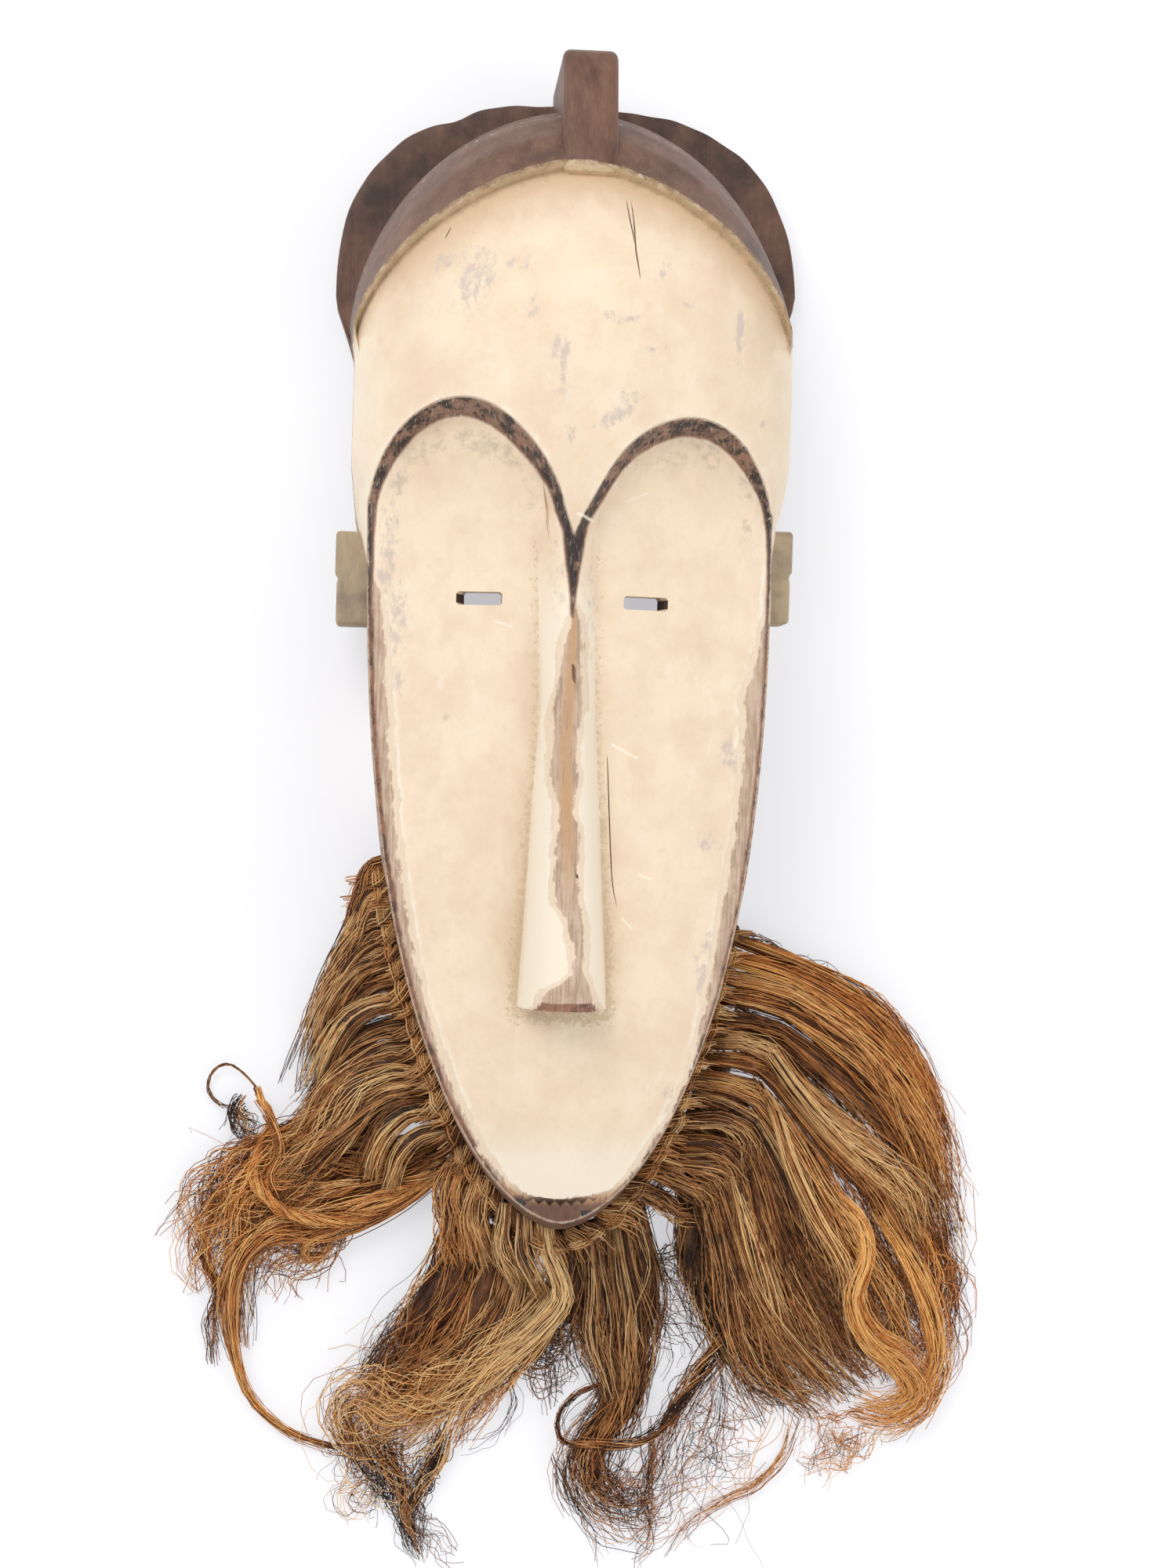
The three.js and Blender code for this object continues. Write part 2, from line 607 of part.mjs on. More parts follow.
// Fans of locks: each spreads between an outer and an inner guide line.
const fans = [
  {
    names: ['raffia_left_upper', 'raffia_left_middle'], height: 27, steps: 9,
    guides: [
      { share: 0.01, through: [[-128, -112], [-136, -155], [-160, -190], [-195, -216], [-203, -246]] },
      { share: 0.27, through: [[-112, -176], [-128, -202], [-150, -224], [-176, -250], [-192, -276]] }
    ]
  },
  {
    names: ['raffia_left_tail'], height: 24, steps: 14,
    guides: [
      { share: 0.275, through: [[-116, -192], [-160, -240], [-180, -298], [-170, -340], [-106, -375]] },
      { share: 0.36, through: [[-97, -236], [-138, -272], [-168, -302], [-161, -332], [-107, -368]] }
    ]
  },
  {
    names: ['raffia_chin_left', 'raffia_chin_right'], height: 28, steps: 12,
    guides: [
      { share: 0.37, through: [[-62, -252], [-84, -298], [-104, -352], [-88, -396], [-60, -428]] },
      { share: 0.53, through: [[4, -282], [-10, -318], [-36, -362], [-50, -396], [-52, -426]] }
    ]
  },
  {
    names: ['raffia_centre_left', 'raffia_centre_right'], height: 24, steps: 10,
    guides: [
      { share: 0.54, through: [[10, -286], [12, -316], [10, -350], [14, -380], [40, -406]] },
      { share: 0.67, through: [[54, -276], [52, -316], [44, -350], [48, -380], [60, -396]] }
    ]
  },
  {
    names: ['raffia_right_inner', 'raffia_right_lower', 'raffia_right_middle', 'raffia_right_upper'],
    height: 30, steps: 9,
    guides: [
      { share: 0.68, through: [[76, -262], [88, -288], [110, -318], [140, -338], [160, -350]] },
      { share: 0.99, through: [[146, -106], [186, -138], [216, -190], [226, -248], [230, -322]] }
    ]
  }
];

function addPiece(group, name, geometry, look) {
  const mesh = new THREE.Mesh(geometry, new THREE.MeshStandardMaterial(look));
  mesh.name = name;
  group.add(mesh);
}

const maskGroup = new THREE.Group();
addPiece(maskGroup, 'carved_mask', carvedMask(), wood);
addPiece(maskGroup, 'beard_cord', beardCord(), raffia);
for (const fan of fans) {
  fan.count = fan.names.length;
  fan.names.forEach((name, i) => addPiece(maskGroup, name, lockGeometry(fan, i), raffia));
}

const box = new THREE.Box3().setFromObject(maskGroup);
maskGroup.position.set(-(box.min.x + box.max.x) / 2, -(box.min.y + box.max.y) / 2, -box.min.z);

export default maskGroup;
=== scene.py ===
# A Fang mask lying face up: white clay over carved wood, with a beard of knotted raffia.
# The carving is worked out in millimetres around the middle of the face, and stored in metres.
import math

import bpy
import numpy as np
from mathutils import Matrix, Vector


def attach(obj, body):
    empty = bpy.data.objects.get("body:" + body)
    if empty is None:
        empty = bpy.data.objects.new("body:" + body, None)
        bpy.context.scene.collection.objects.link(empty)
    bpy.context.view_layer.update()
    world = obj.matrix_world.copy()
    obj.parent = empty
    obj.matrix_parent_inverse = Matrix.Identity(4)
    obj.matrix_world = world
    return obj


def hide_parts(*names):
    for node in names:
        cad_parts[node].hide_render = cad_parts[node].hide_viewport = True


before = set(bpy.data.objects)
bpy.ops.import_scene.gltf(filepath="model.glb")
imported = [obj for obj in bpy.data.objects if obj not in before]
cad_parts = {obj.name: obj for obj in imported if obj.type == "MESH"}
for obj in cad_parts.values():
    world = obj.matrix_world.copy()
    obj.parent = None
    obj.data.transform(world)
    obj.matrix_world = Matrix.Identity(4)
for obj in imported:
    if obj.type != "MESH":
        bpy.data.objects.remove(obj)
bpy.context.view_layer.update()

mm = 0.001
faceMiddle = np.array([-11.6175, 20.2715, 0.0])  # where the middle of the face lies in the frame
turn = math.pi * 2


def toFrame(points):
    return (np.asarray(points, float) + faceMiddle) * mm


# Camera over the mask, a little to its left, as in the photograph

cameraSetup = {
    "distance": 1640.0, "sightHeight": 110.0, "yaw": 4.0, "roll": 1.72,
    "lens": 72.0, "sightShift": -26.2, "photoFocal": 4000.0
}


def addCamera(setup):
    yaw = math.radians(setup["yaw"])
    roll = math.radians(setup["roll"])
    forward = Vector((math.sin(yaw), 0, -math.cos(yaw)))
    level = Vector((math.cos(yaw), 0, math.sin(yaw)))
    north = Vector((0, 1, 0))
    right = level * math.cos(roll) + north * math.sin(roll)
    up = north * math.cos(roll) - level * math.sin(roll)
    sideStep = setup["sightShift"] * setup["distance"] / setup["photoFocal"]
    place = Vector((0, 0, setup["sightHeight"])) - forward * setup["distance"] - right * sideStep
    place = Vector(toFrame(place))
    bpy.ops.object.camera_add(location=place)
    camera = bpy.context.object
    camera.name = "photoCamera"
    camera.matrix_world = Matrix((
        (right.x, up.x, -forward.x, place.x),
        (right.y, up.y, -forward.y, place.y),
        (right.z, up.z, -forward.z, place.z),
        (0, 0, 0, 1)
    ))
    camera.data.lens = setup["lens"]
    camera.data.sensor_width = 36.0
    camera.data.clip_end = 20.0
    bpy.context.scene.camera = camera


addCamera(cameraSetup)
print("camera placed")


# Small helpers for shapes and nodes

def lerp(a, b, t):
    return a + (b - a) * t


def ramp(a, b, value):
    t = np.clip((value - a) / (b - a), 0, 1)
    return t * t * (3 - 2 * t)


def smoothLine(points, t):
    # Centripetal curve through the points, read at shares t of its stretches.
    points = np.asarray(points, float)
    ends = np.vstack([2 * points[0] - points[1], points, 2 * points[-1] - points[-2]])
    place = np.clip(np.asarray(t, float), 0, 1) * (len(points) - 1)
    index = np.minimum(place.astype(int), len(points) - 2)
    part = (place - index)[..., None]
    p0, p1, p2, p3 = (ends[index + i] for i in range(4))
    gap0, gap1, gap2 = (np.maximum(np.linalg.norm(b - a, axis=-1, keepdims=True), 1e-6) ** 0.5
                        for a, b in ((p0, p1), (p1, p2), (p2, p3)))
    leave = ((p1 - p0) / gap0 - (p2 - p0) / (gap0 + gap1) + (p2 - p1) / gap1) * gap1
    reach = ((p2 - p1) / gap1 - (p3 - p1) / (gap1 + gap2) + (p3 - p2) / gap2) * gap1
    square = -3 * p1 + 3 * p2 - 2 * leave - reach
    cube = 2 * p1 - 2 * p2 + leave + reach
    return p1 + leave * part + square * part ** 2 + cube * part ** 3


def deselectAll():
    if bpy.context.object and bpy.context.object.mode != "OBJECT":
        bpy.ops.object.mode_set(mode="OBJECT")
    bpy.ops.object.select_all(action="DESELECT")


def pick(obj):
    deselectAll()
    obj.select_set(True)
    bpy.context.view_layer.objects.active = obj


def readPoints(obj):
    points = np.empty(len(obj.data.vertices) * 3)
    obj.data.vertices.foreach_get("co", points)
    return points.reshape(-1, 3)


def writePoints(obj, points):
    obj.data.vertices.foreach_set("co", np.asarray(points, float).ravel())
    obj.data.update()


def applyModifiers(obj):
    pick(obj)
    for modifier in list(obj.modifiers):
        bpy.ops.object.modifier_apply(modifier=modifier.name)


def applyPlace(obj):
    pick(obj)
    bpy.ops.object.transform_apply(location=True, rotation=True, scale=True)


def cutOrJoin(obj, other, operation):
    pick(obj)
    modifier = obj.modifiers.new("carve", "BOOLEAN")
    modifier.operation = operation
    modifier.solver = "EXACT"
    modifier.object = other
    bpy.ops.object.modifier_apply(modifier=modifier.name)
    bpy.data.objects.remove(other, do_unlink=True)


def setAttribute(obj, name, values):
    attribute = obj.data.attributes.get(name) or obj.data.attributes.new(name, "FLOAT", "POINT")
    attribute.data.foreach_set("value", np.asarray(values, np.float32))


# The carved mask

maskShape = {
    "segments": 440, "noseRows": 20, "cheekRows": 46, "browRows": 8, "crownRows": 44, "hollowRows": 20,
    "faceTop": 145.0, "faceBottom": -232.0, "faceHalf": 106.5, "centreTop": -2.0, "centreBottom": 4.0,
    "rightBrow": [(104.4, 140.0), (102.0, 151.5), (96.8, 163.2), (89.2, 174.4), (79.6, 183.2), (68.2, 188.6),
                  (57.2, 190.0), (46.6, 188.0), (34.4, 182.6), (22.9, 173.2), (15.2, 162.8), (9.4, 152.6),
                  (4.4, 143.4), (0.5, 135.8), (-2.6, 128.0)],
    "leftBrow": [(-2.6, 128.0), (-6.8, 139.6), (-10.7, 151.6), (-17.1, 163.8), (-25.8, 175.6), (-37.8, 187.0),
                 (-49.0, 193.8), (-60.0, 196.4), (-71.6, 195.0), (-82.0, 190.4), (-91.8, 182.4),
                 (-100.2, 170.4), (-105.8, 156.8), (-108.4, 144.5)],
    "browPoint": (-2.6, 128.0), "browTailEnd": 92.0, "browWidth": 8.0, "browSlope": 1.9,
    "wallThickness": 14.0, "waver": 0.42,
    # Where the rays stand closer: degrees, spread, gain
    "crowding": [(90, 16, 2.6), (270, 16, 1.4), (117, 5, 1.6), (65, 5, 1.6), (128, 8, 0.6), (50, 8, 0.6)]
}
cheek = {
    "height": 129.0, "sideDrop": 27.0, "chinDrop": 37.0, "roundness": 0.75, "lengthwise": 6.0,
    "browRise": 14.0, "riseFrom": 105.0, "riseTo": 190.0
}
forehead = {
    "x": -2.0, "top": 156.0, "crestY": 225.0, "halfWidth": 118.5, "depth": 80.0,
    "browFall": 10.0, "bandFall": 38.0, "browReach": 97.0, "bandReach": 95.0
}
nose = {
    "top": 128.0, "base": -117.0, "topHeight": 142.0, "baseHeight": 151.0, "fadeFrom": 132.0,
    "fadeTo": 158.0, "topLeft": -20.5, "topRight": 9.5, "waistY": 40.0, "waistLeft": -16.5,
    "waistRight": 12.0, "baseLeft": -23.5, "baseRight": 23.0, "tipY": 116.0,
    "shoulderLeftY": 121.0, "shoulderRightY": 104.0, "topRounding": 2.0, "baseRounding": 3.4
}
hairBand = {
    "foot": (-3.0, 229.0, 115.0, 91.0, 1.58), "edge": (-3.0, 233.0, 118.0, 122.0, 1.92),
    "brim": (-2.5, 262.0, 127.5, 113.0, 2.6), "step": 8.0, "stepWidth": 3.0,
    "edgeHeight": 88.0, "edgeEndHeight": 60.0, "brimHeight": 14.0,
    "leftEnd": (-118.0, 232.0), "rightEnd": (113.0, 240.0),
    "notchAt": 100.6, "notchWidth": 1.7, "notchDepth": 2.2
}
backRim = {
    "top": 110.0, "bottom": -254.0, "halfWidth": 105.5, "centreTop": -1.0, "centreBottom": 8.0,
    "leftTemple": [(-118.5, 215.0), (-118.5, 172.0), (-115.0, 140.0)],
    "rightTemple": [(112.0, 140.0), (116.0, 172.0), (116.0, 215.0)],
    "hollowDome": (-2.5, 205.0, 101.0, 131.0, 2.0), "squareness": 9.0, "chinWear": 6.5
}


def dome(shape, steps):
    x, y, halfWidth, rise, fullness = shape
    angle = np.linspace(0, math.pi, steps + 1)
    across = np.sign(np.cos(angle)) * np.abs(np.cos(angle)) ** (2 / fullness)
    return np.column_stack([x + halfWidth * across, y + rise * np.abs(np.sin(angle)) ** (2 / fullness)])


def lowerOval(top, bottom, halfWidth, centreTop, centreBottom, steps):
    angle = np.linspace(0, math.pi, steps + 1)
    down = np.abs(np.sin(angle)) ** 1.25
    half = halfWidth * np.clip(1 - down ** 2.5, 0, 1) ** (1 / 1.75)
    x = lerp(centreTop, centreBottom, down) - np.sign(np.cos(angle)) * half
    return np.column_stack([x, lerp(top, bottom, down)])


def insetLine(line, inset):
    heading = np.gradient(line, axis=0)
    heading /= np.linalg.norm(heading, axis=1, keepdims=True)
    return line + inset * np.column_stack([-heading[:, 1], heading[:, 0]])


def radiusAt(outline, angles):
    start = np.asarray(outline, float)
    end = np.roll(start, -1, axis=0)
    span = end - start
    dx = np.cos(angles)[:, None]
    dy = np.sin(angles)[:, None]
    cross = dx * span[:, 1] - dy * span[:, 0]
    cross = np.where(np.abs(cross) < 1e-9, 1e-9, cross)
    along = (start[:, 0] * span[:, 1] - start[:, 1] * span[:, 0]) / cross
    share = (start[:, 0] * dy - start[:, 1] * dx) / cross
    good = (along > 0) & (share > -1e-6) & (share < 1 + 1e-6)
    return np.where(good, along, 0).max(axis=1)


def distanceTo(line, x, y):
    best = np.full(x.shape, 1e9)
    for start, end in zip(line[:-1], line[1:]):
        span = end - start
        length = max(span @ span, 1e-9)
        share = np.clip(((x - start[0]) * span[0] + (y - start[1]) * span[1]) / length, 0, 1)
        best = np.minimum(best, np.hypot(x - start[0] - share * span[0], y - start[1] - share * span[1]))
    return best


shape = maskShape
faceLower = lowerOval(shape["faceTop"], shape["faceBottom"], shape["faceHalf"],
                      shape["centreTop"], shape["centreBottom"], 160)
rightBrow = smoothLine(shape["rightBrow"], np.linspace(0, 1, 71))
leftBrow = smoothLine(shape["leftBrow"], np.linspace(0, 1, 71))
browLine = np.vstack([rightBrow, leftBrow[1:]])
heartTop = np.vstack([browLine, faceLower])
noseTopRight = np.array([[nose["topRight"], shape["browPoint"][1]]])
noseTopLeft = np.array([[nose["topLeft"], shape["browPoint"][1]]])
heartFoot = np.vstack([insetLine(rightBrow, shape["browWidth"])[:-10], noseTopRight, noseTopLeft,
                       insetLine(leftBrow, shape["browWidth"])[10:], faceLower])
noseFoot = np.array([
    (nose["waistRight"], nose["waistY"]), (nose["topRight"], nose["shoulderRightY"]),
    (shape["browPoint"][0], nose["tipY"]), (nose["topLeft"], nose["shoulderLeftY"]),
    (nose["waistLeft"], nose["waistY"]), (nose["baseLeft"], nose["base"]), (nose["baseRight"], nose["base"])
])
rimLower = lowerOval(backRim["top"], backRim["bottom"], backRim["halfWidth"],
                     backRim["centreTop"], backRim["centreBottom"], 160)
brimY = hairBand["brim"][1]
sideRim = np.vstack([
    [(backRim["rightTemple"][2][0], brimY), (backRim["leftTemple"][0][0], brimY)],
    backRim["leftTemple"], rimLower, backRim["rightTemple"]
])
rimOutline = np.vstack([
    dome(hairBand["brim"], 120), [(hairBand["leftEnd"][0] - 1, hairBand["leftEnd"][1] - 6)],
    backRim["leftTemple"], rimLower, backRim["rightTemple"],
    [(hairBand["rightEnd"][0] + 3, hairBand["rightEnd"][1] - 4)]
])
hollowOutline = np.vstack([
    dome(backRim["hollowDome"], 80),
    lowerOval(backRim["top"], backRim["bottom"] + shape["wallThickness"],
              backRim["halfWidth"] - shape["wallThickness"], backRim["centreTop"],
              backRim["centreBottom"], 120)
])


def adzeWaver(x, y):
    # Slow unevenness that the carver's adze leaves
    total = 0 * x
    for k in range(8):
        angle = 0.7 + k * 2.4
        size = 5.0 + 1.3 * k
        total = total + np.sin((x * math.cos(angle) + y * math.sin(angle)) / size + k * k) * (0.5 + size / 16)
    return total * maskShape["waver"] / 4


def foreheadHeight(x, y):
    across = np.clip(np.abs(x - forehead["x"]) / forehead["halfWidth"], 0, 1)
    below = y < forehead["crestY"]
    along = (y - forehead["crestY"]) / np.where(below, forehead["browReach"], forehead["bandReach"])
    fall = np.where(below, forehead["browFall"], forehead["bandFall"]) * along * along
    level = forehead["top"] - fall - forehead["depth"] * (1 - np.sqrt(1 - across * across))
    return level + adzeWaver(x, y)


def cheekSurface(x, y):
    down = np.clip((shape["faceTop"] - y) / (shape["faceTop"] - shape["faceBottom"]), 0, 1)
    centre = lerp(shape["centreTop"], shape["centreBottom"], down)
    across = np.abs(x - centre) / shape["faceHalf"]
    outward = (down ** cheek["lengthwise"] + across ** 1.75) ** cheek["roundness"]
    rise = cheek["browRise"] * ramp(cheek["riseFrom"], cheek["riseTo"], y) * np.maximum(0, 1 - across ** 3)
    level = cheek["height"] - lerp(cheek["sideDrop"], cheek["chinDrop"], down) * outward + rise
    return level + adzeWaver(x + 60, y)


def noseSides(y):
    low = np.clip((nose["waistY"] - y) / (nose["waistY"] - nose["base"]), 0, 1)
    high = np.clip((y - nose["waistY"]) / (nose["top"] - nose["waistY"]), 0, 1)
    upper = y > nose["waistY"]
    left = np.where(upper, lerp(nose["waistLeft"], nose["topLeft"], high),
                    lerp(nose["waistLeft"], nose["baseLeft"], low))
    right = np.where(upper, lerp(nose["waistRight"], nose["topRight"], high),
                     lerp(nose["waistRight"], nose["baseRight"], low))
    return left, right, low


def noseSurface(x, y):
    left, right, low = noseSides(y)
    across = np.abs(2 * x - left - right) / (right - left)
    down = np.clip((nose["top"] - y) / (nose["top"] - nose["base"]), 0, 1)
    ridge = lerp(nose["topHeight"], nose["baseHeight"], down)
    fade = 1 - ramp(nose["fadeFrom"], nose["fadeTo"], y)
    foot = cheekSurface(x, y) - 1 - 30 * (1 - fade)
    rounding = lerp(nose["topRounding"], nose["baseRounding"], low)
    raised = foot + (ridge - foot) * fade * (1 - across ** rounding)
    return np.where(y < nose["base"] - 0.01, foot, raised)


def browSurface(x, y):
    wall = foreheadHeight(x, y) - distanceTo(browLine, x, y) * shape["browSlope"]
    pointX, pointY = shape["browPoint"]
    share = np.clip((y - shape["browTailEnd"]) / (pointY - shape["browTailEnd"]), 0, 1)
    high = foreheadHeight(np.array(pointX), np.array(pointY))
    tail = lerp(nose["topHeight"], high, share) - np.abs(x - pointX) * shape["browSlope"]
    return np.maximum(np.where(y > shape["browTailEnd"], wall, 0),
                      np.where(y > shape["browTailEnd"] - 8, tail, 0))


def softMax(a, b, reach):
    return (a + b + np.sqrt((a - b) ** 2 + reach ** 2)) / 2


def faceSurface(x, y):
    soft = lerp(0.6, 5.0, ramp(0, 110, y))
    carved = softMax(cheekSurface(x, y), noseSurface(x, y), soft) - soft * 0.1
    return softMax(carved, browSurface(x, y), 0.6)


def fanAngles(count):
    degrees = np.arange(0, 360, 0.05)
    weights = np.ones_like(degrees)
    for at, spread, gain in shape["crowding"]:
        weights += gain * np.exp(-(((degrees - at) / spread) ** 2))
    total = np.cumsum(weights)
    angles = np.interp(total[-1] * (np.arange(count) + 0.5) / count, total, degrees) * turn / 360
    corners = [shape["browPoint"], (nose["baseLeft"], nose["base"]), (nose["baseRight"], nose["base"]),
               (nose["topLeft"], nose["shoulderLeftY"]), (nose["topRight"], nose["shoulderRightY"])]
    for x, y in corners:
        exact = math.atan2(y, x) % turn
        angles[np.argmin(np.abs(angles - exact))] = exact
    return angles


def castRays(angles):
    degrees = angles * 360 / turn
    leftEnd = math.degrees(math.atan2(hairBand["leftEnd"][1], hairBand["leftEnd"][0]))
    rightEnd = math.degrees(math.atan2(hairBand["rightEnd"][1], hairBand["rightEnd"][0]))
    rays = {"cos": np.cos(angles), "sin": np.sin(angles)}
    begun = ramp(rightEnd - 0.6, rightEnd + 0.6, degrees)
    rays["banded"] = begun * (1 - ramp(leftEnd - 0.6, leftEnd + 0.6, degrees))
    rays["top"] = radiusAt(heartTop, angles)
    rays["nose"] = np.minimum(radiusAt(noseFoot, angles), rays["top"] - 6)
    rays["foot"] = np.minimum(np.maximum(radiusAt(heartFoot, angles), rays["nose"] + 1), rays["top"] - 1)
    overBrow = ramp(shape["faceTop"] - 50, shape["faceTop"] + 12, rays["top"] * rays["sin"])
    nearMiddle = 1 - ramp(70, 90, np.abs(rays["top"] * rays["cos"]))
    rays["browed"] = np.where(rays["sin"] > 0, np.maximum(overBrow, nearMiddle), 0)
    rays["rim"] = radiusAt(rimOutline, angles)
    notch = np.exp(-((degrees - hairBand["notchAt"]) / hairBand["notchWidth"]) ** 2)
    shaky = np.sin(degrees * 0.83) + np.sin(degrees * 0.37 + 1) + 0.6 * np.sin(degrees * 1.9)
    rays["rim"] = rays["rim"] - (hairBand["notchDepth"] * notch + 0.35 * (1 + shaky)) * rays["banded"]
    low = ramp(-0.4, -0.85, rays["sin"])
    rays["side"] = radiusAt(sideRim, angles) - backRim["chinWear"] * low
    rays["bulge"] = lerp(3.0, 1.3, low)
    rays["hollow"] = radiusAt(hollowOutline, angles)
    band = radiusAt(dome(hairBand["foot"], 120), angles)
    edge = radiusAt(dome(hairBand["edge"], 120), angles)
    rays["band"] = np.where(band > 0, band, rays["side"])
    rays["edge"] = np.where(edge > 0, edge, rays["side"])
    return rays


def edgeHeight(rays):
    x = rays["top"] * rays["cos"]
    y = rays["top"] * rays["sin"]
    return lerp(cheekSurface(x, y), foreheadHeight(x, y), rays["browed"])


def crownRings(rays):
    rings = []
    for share in np.linspace(0, 1, maskShape["crownRows"] + 1)[1:]:
        radius = lerp(rays["top"], rays["band"], share)
        rings.append((radius, foreheadHeight(radius * rays["cos"], radius * rays["sin"])))
    footRadius, footHeight = rings[-1]
    inner = rays["band"] + hairBand["stepWidth"]
    high = footHeight + hairBand["step"]
    rings += [
        (footRadius + 0.6, footHeight + 0.6),
        (lerp(footRadius, inner, 0.45), footHeight + hairBand["step"] * 0.5),
        (inner - 0.6, high - 1.2), (inner + 0.6, high)
    ]
    centred = 1 - np.clip(np.abs(rays["edge"] * rays["cos"] + 3) / hairBand["edge"][2], 0, 1) ** 2.4
    low = lerp(hairBand["edgeEndHeight"], hairBand["edgeHeight"], centred)
    edge = np.maximum(rays["edge"], inner + 1)
    rim = np.maximum(rays["rim"], edge + 1)
    for share in np.linspace(0, 1, 19)[1:]:
        drop = np.interp(share, [0, 0.5, 0.85, 1], [0, 0.34, 0.74, 1])
        rings.append((lerp(inner + 0.6, edge, share), lerp(high, low, drop)))
    brim = hairBand["brimHeight"]
    rings += [
        (edge + 1.2, low - 2), (edge + 1.4, lerp(low, brim, 0.3)), (edge + 1.2, lerp(low, brim, 0.7)),
        (edge + 0.8, brim + 2), (edge + 1.6, brim + 0.6)
    ]
    for share in (0.15, 0.35, 0.55, 0.75, 0.92):
        rings.append((lerp(edge + 1.6, rim, share), brim + 0 * rim))
    rings += [(rim - 0.4, brim - 0.3 + 0 * rim), (rim, brim - 1.5 + 0 * rim), (rim, brim * 0.5 + 0 * rim),
              (rim, 1.0 + 0 * rim), (rim - 0.6, 0 * rim)]
    return rings


def sideRings(rays, count):
    rings = []
    for down in np.linspace(0, 1, count + 1)[1:]:
        down = down ** 1.3
        radius = lerp(rays["top"] + 0.5, rays["side"], 1 - (1 - down) ** rays["bulge"])
        straight = lerp(edgeHeight(rays), 0, down ** 1.15)
        domed = foreheadHeight(radius * rays["cos"], radius * rays["sin"]) * rays["browed"]
        rings.append((radius, np.maximum(straight, domed) if down < 0.6 else straight))
    return rings


def ceilingHeight(x, y, share):
    skin = lerp(cheekSurface(x, y), foreheadHeight(x, y), ramp(185, 215, y))
    return (skin - shape["wallThickness"]) * math.sqrt(1 - share ** backRim["squareness"])


def maskRings(rays):
    def onFace(radius):
        return radius, faceSurface(radius * rays["cos"], radius * rays["sin"])
    noseShares = 1 - (1 - np.linspace(0.04, 1, maskShape["noseRows"])) ** 1.5
    rings = [onFace(rays["nose"] * share * 0.994) for share in noseShares]
    cheekShares = (1 - np.cos(np.pi * np.linspace(0, 1, maskShape["cheekRows"]))) / 2
    cheekShares = lerp(np.linspace(0, 1, maskShape["cheekRows"]), cheekShares, 0.55)
    rings += [onFace(lerp(rays["nose"] + 0.15, rays["foot"] - 0.2, share)) for share in cheekShares]
    for share in np.linspace(0, 0.9, maskShape["browRows"]):
        rings.append(onFace(lerp(rays["foot"], rays["top"], share)))
    rings.append((rays["top"] - 0.25, edgeHeight(rays) - 0.5))
    rings.append((rays["top"] + 0.5, edgeHeight(rays)))
    crown = crownRings(rays)
    side = sideRings(rays, len(crown))
    for (sideRadius, sideHeight), (crownRadius, crownHeight) in zip(side, crown):
        radius = lerp(sideRadius, crownRadius, rays["banded"])
        rings.append((radius, lerp(sideHeight, crownHeight, rays["banded"])))
    rings.append((rays["hollow"] + 0.6, 0 * rays["hollow"]))
    hollowShares = 1 - np.linspace(0, 1, maskShape["hollowRows"]) ** 1.8 * 0.92
    for share in hollowShares:
        radius = rays["hollow"] * share
        rings.append((radius, ceilingHeight(radius * rays["cos"], radius * rays["sin"], share)))
    return rings


def carveShell():
    count = maskShape["segments"]
    angles = fanAngles(count)
    rays = castRays(angles)
    rings = maskRings(rays)
    rows = len(rings)
    bpy.ops.mesh.primitive_uv_sphere_add(segments=count, ring_count=rows + 1, radius=1)
    obj = bpy.context.object
    obj.name = "carvedMask"
    ball = readPoints(obj)
    row = np.rint(np.arccos(np.clip(ball[:, 2], -1, 1)) / math.pi * (rows + 1)).astype(int)
    column = np.rint((np.arctan2(ball[:, 1], ball[:, 0]) % turn) / turn * count).astype(int) % count
    radii = np.array([radius for radius, height in rings])
    heights = np.array([height for radius, height in rings])
    inside = np.clip(row - 1, 0, rows - 1)
    radius = radii[inside, column]
    points = np.column_stack([radius * rays["cos"][column], radius * rays["sin"][column],
                              heights[inside, column]])
    zero = np.zeros(1)
    points[row == 0] = (0, 0, faceSurface(zero, zero)[0])
    points[row == rows + 1] = (0, 0, ceilingHeight(zero, zero, 0)[0])
    writePoints(obj, points)
    print("mask shell:", rows, "rings")
    return obj


deselectAll()
mask = carveShell()


# Ears, crest, eye slits and mouth, made as blocks and joined or cut

blocks = {
    "eyeSlits": [(-50.0, 95.0, 25.0), (37.5, 95.0, 24.0)], "slitHeight": 7.0, "slitCorner": 1.2,
    "ears": [(-108.0, 107.0, -1), (104.5, 115.0, 1)], "earLength": 50.0, "earDepth": 34.0,
    "earHeight": 45.0, "earReach": 17.0, "earBury": 8.0,
    "crestX": 1.5, "crestWidth": 29.0, "crestFoot": 318.0, "crestTop": 387.0,
    "crestFootHeight": 127.0, "crestTopHeight": 104.0, "crestRound": 7.0, "crestDepth": 44.0,
    "crestEdge": 5.5,
    "mouth": (1.0, -220.6), "mouthHalf": 26.0, "teeth": 9, "toothHeight": 2.6, "lip": 2.0,
    "mouthDepth": 2.0, "mouthBow": 4.6, "mouthTilt": 34.0,
    "slitLean": 0.36, "slitBack": 100.0, "slitFront": 138.0, "slitSkin": 119.0
}
cracks = [
    {"line": [(20.1, 304.7), (21.7, 293.6), (23.7, 282.5), (24.3, 277.4)], "width": 0.8, "depth": 1.6},
    {"line": [(22.6, 304.7), (24.2, 288.9), (24.9, 274.7), (26.1, 266.8), (27.4, 257.3)],
     "width": 1.0, "depth": 2.0},
    {"line": [(18.9, 16.9), (19.7, 8.8), (21.4, -17.7), (24.3, -52.7), (27.3, -64.4)],
     "width": 0.8, "depth": 1.4},
    {"line": [(-69.6, 285.8), (-73.0, 278.9)], "width": 0.7, "depth": 1.0}
]


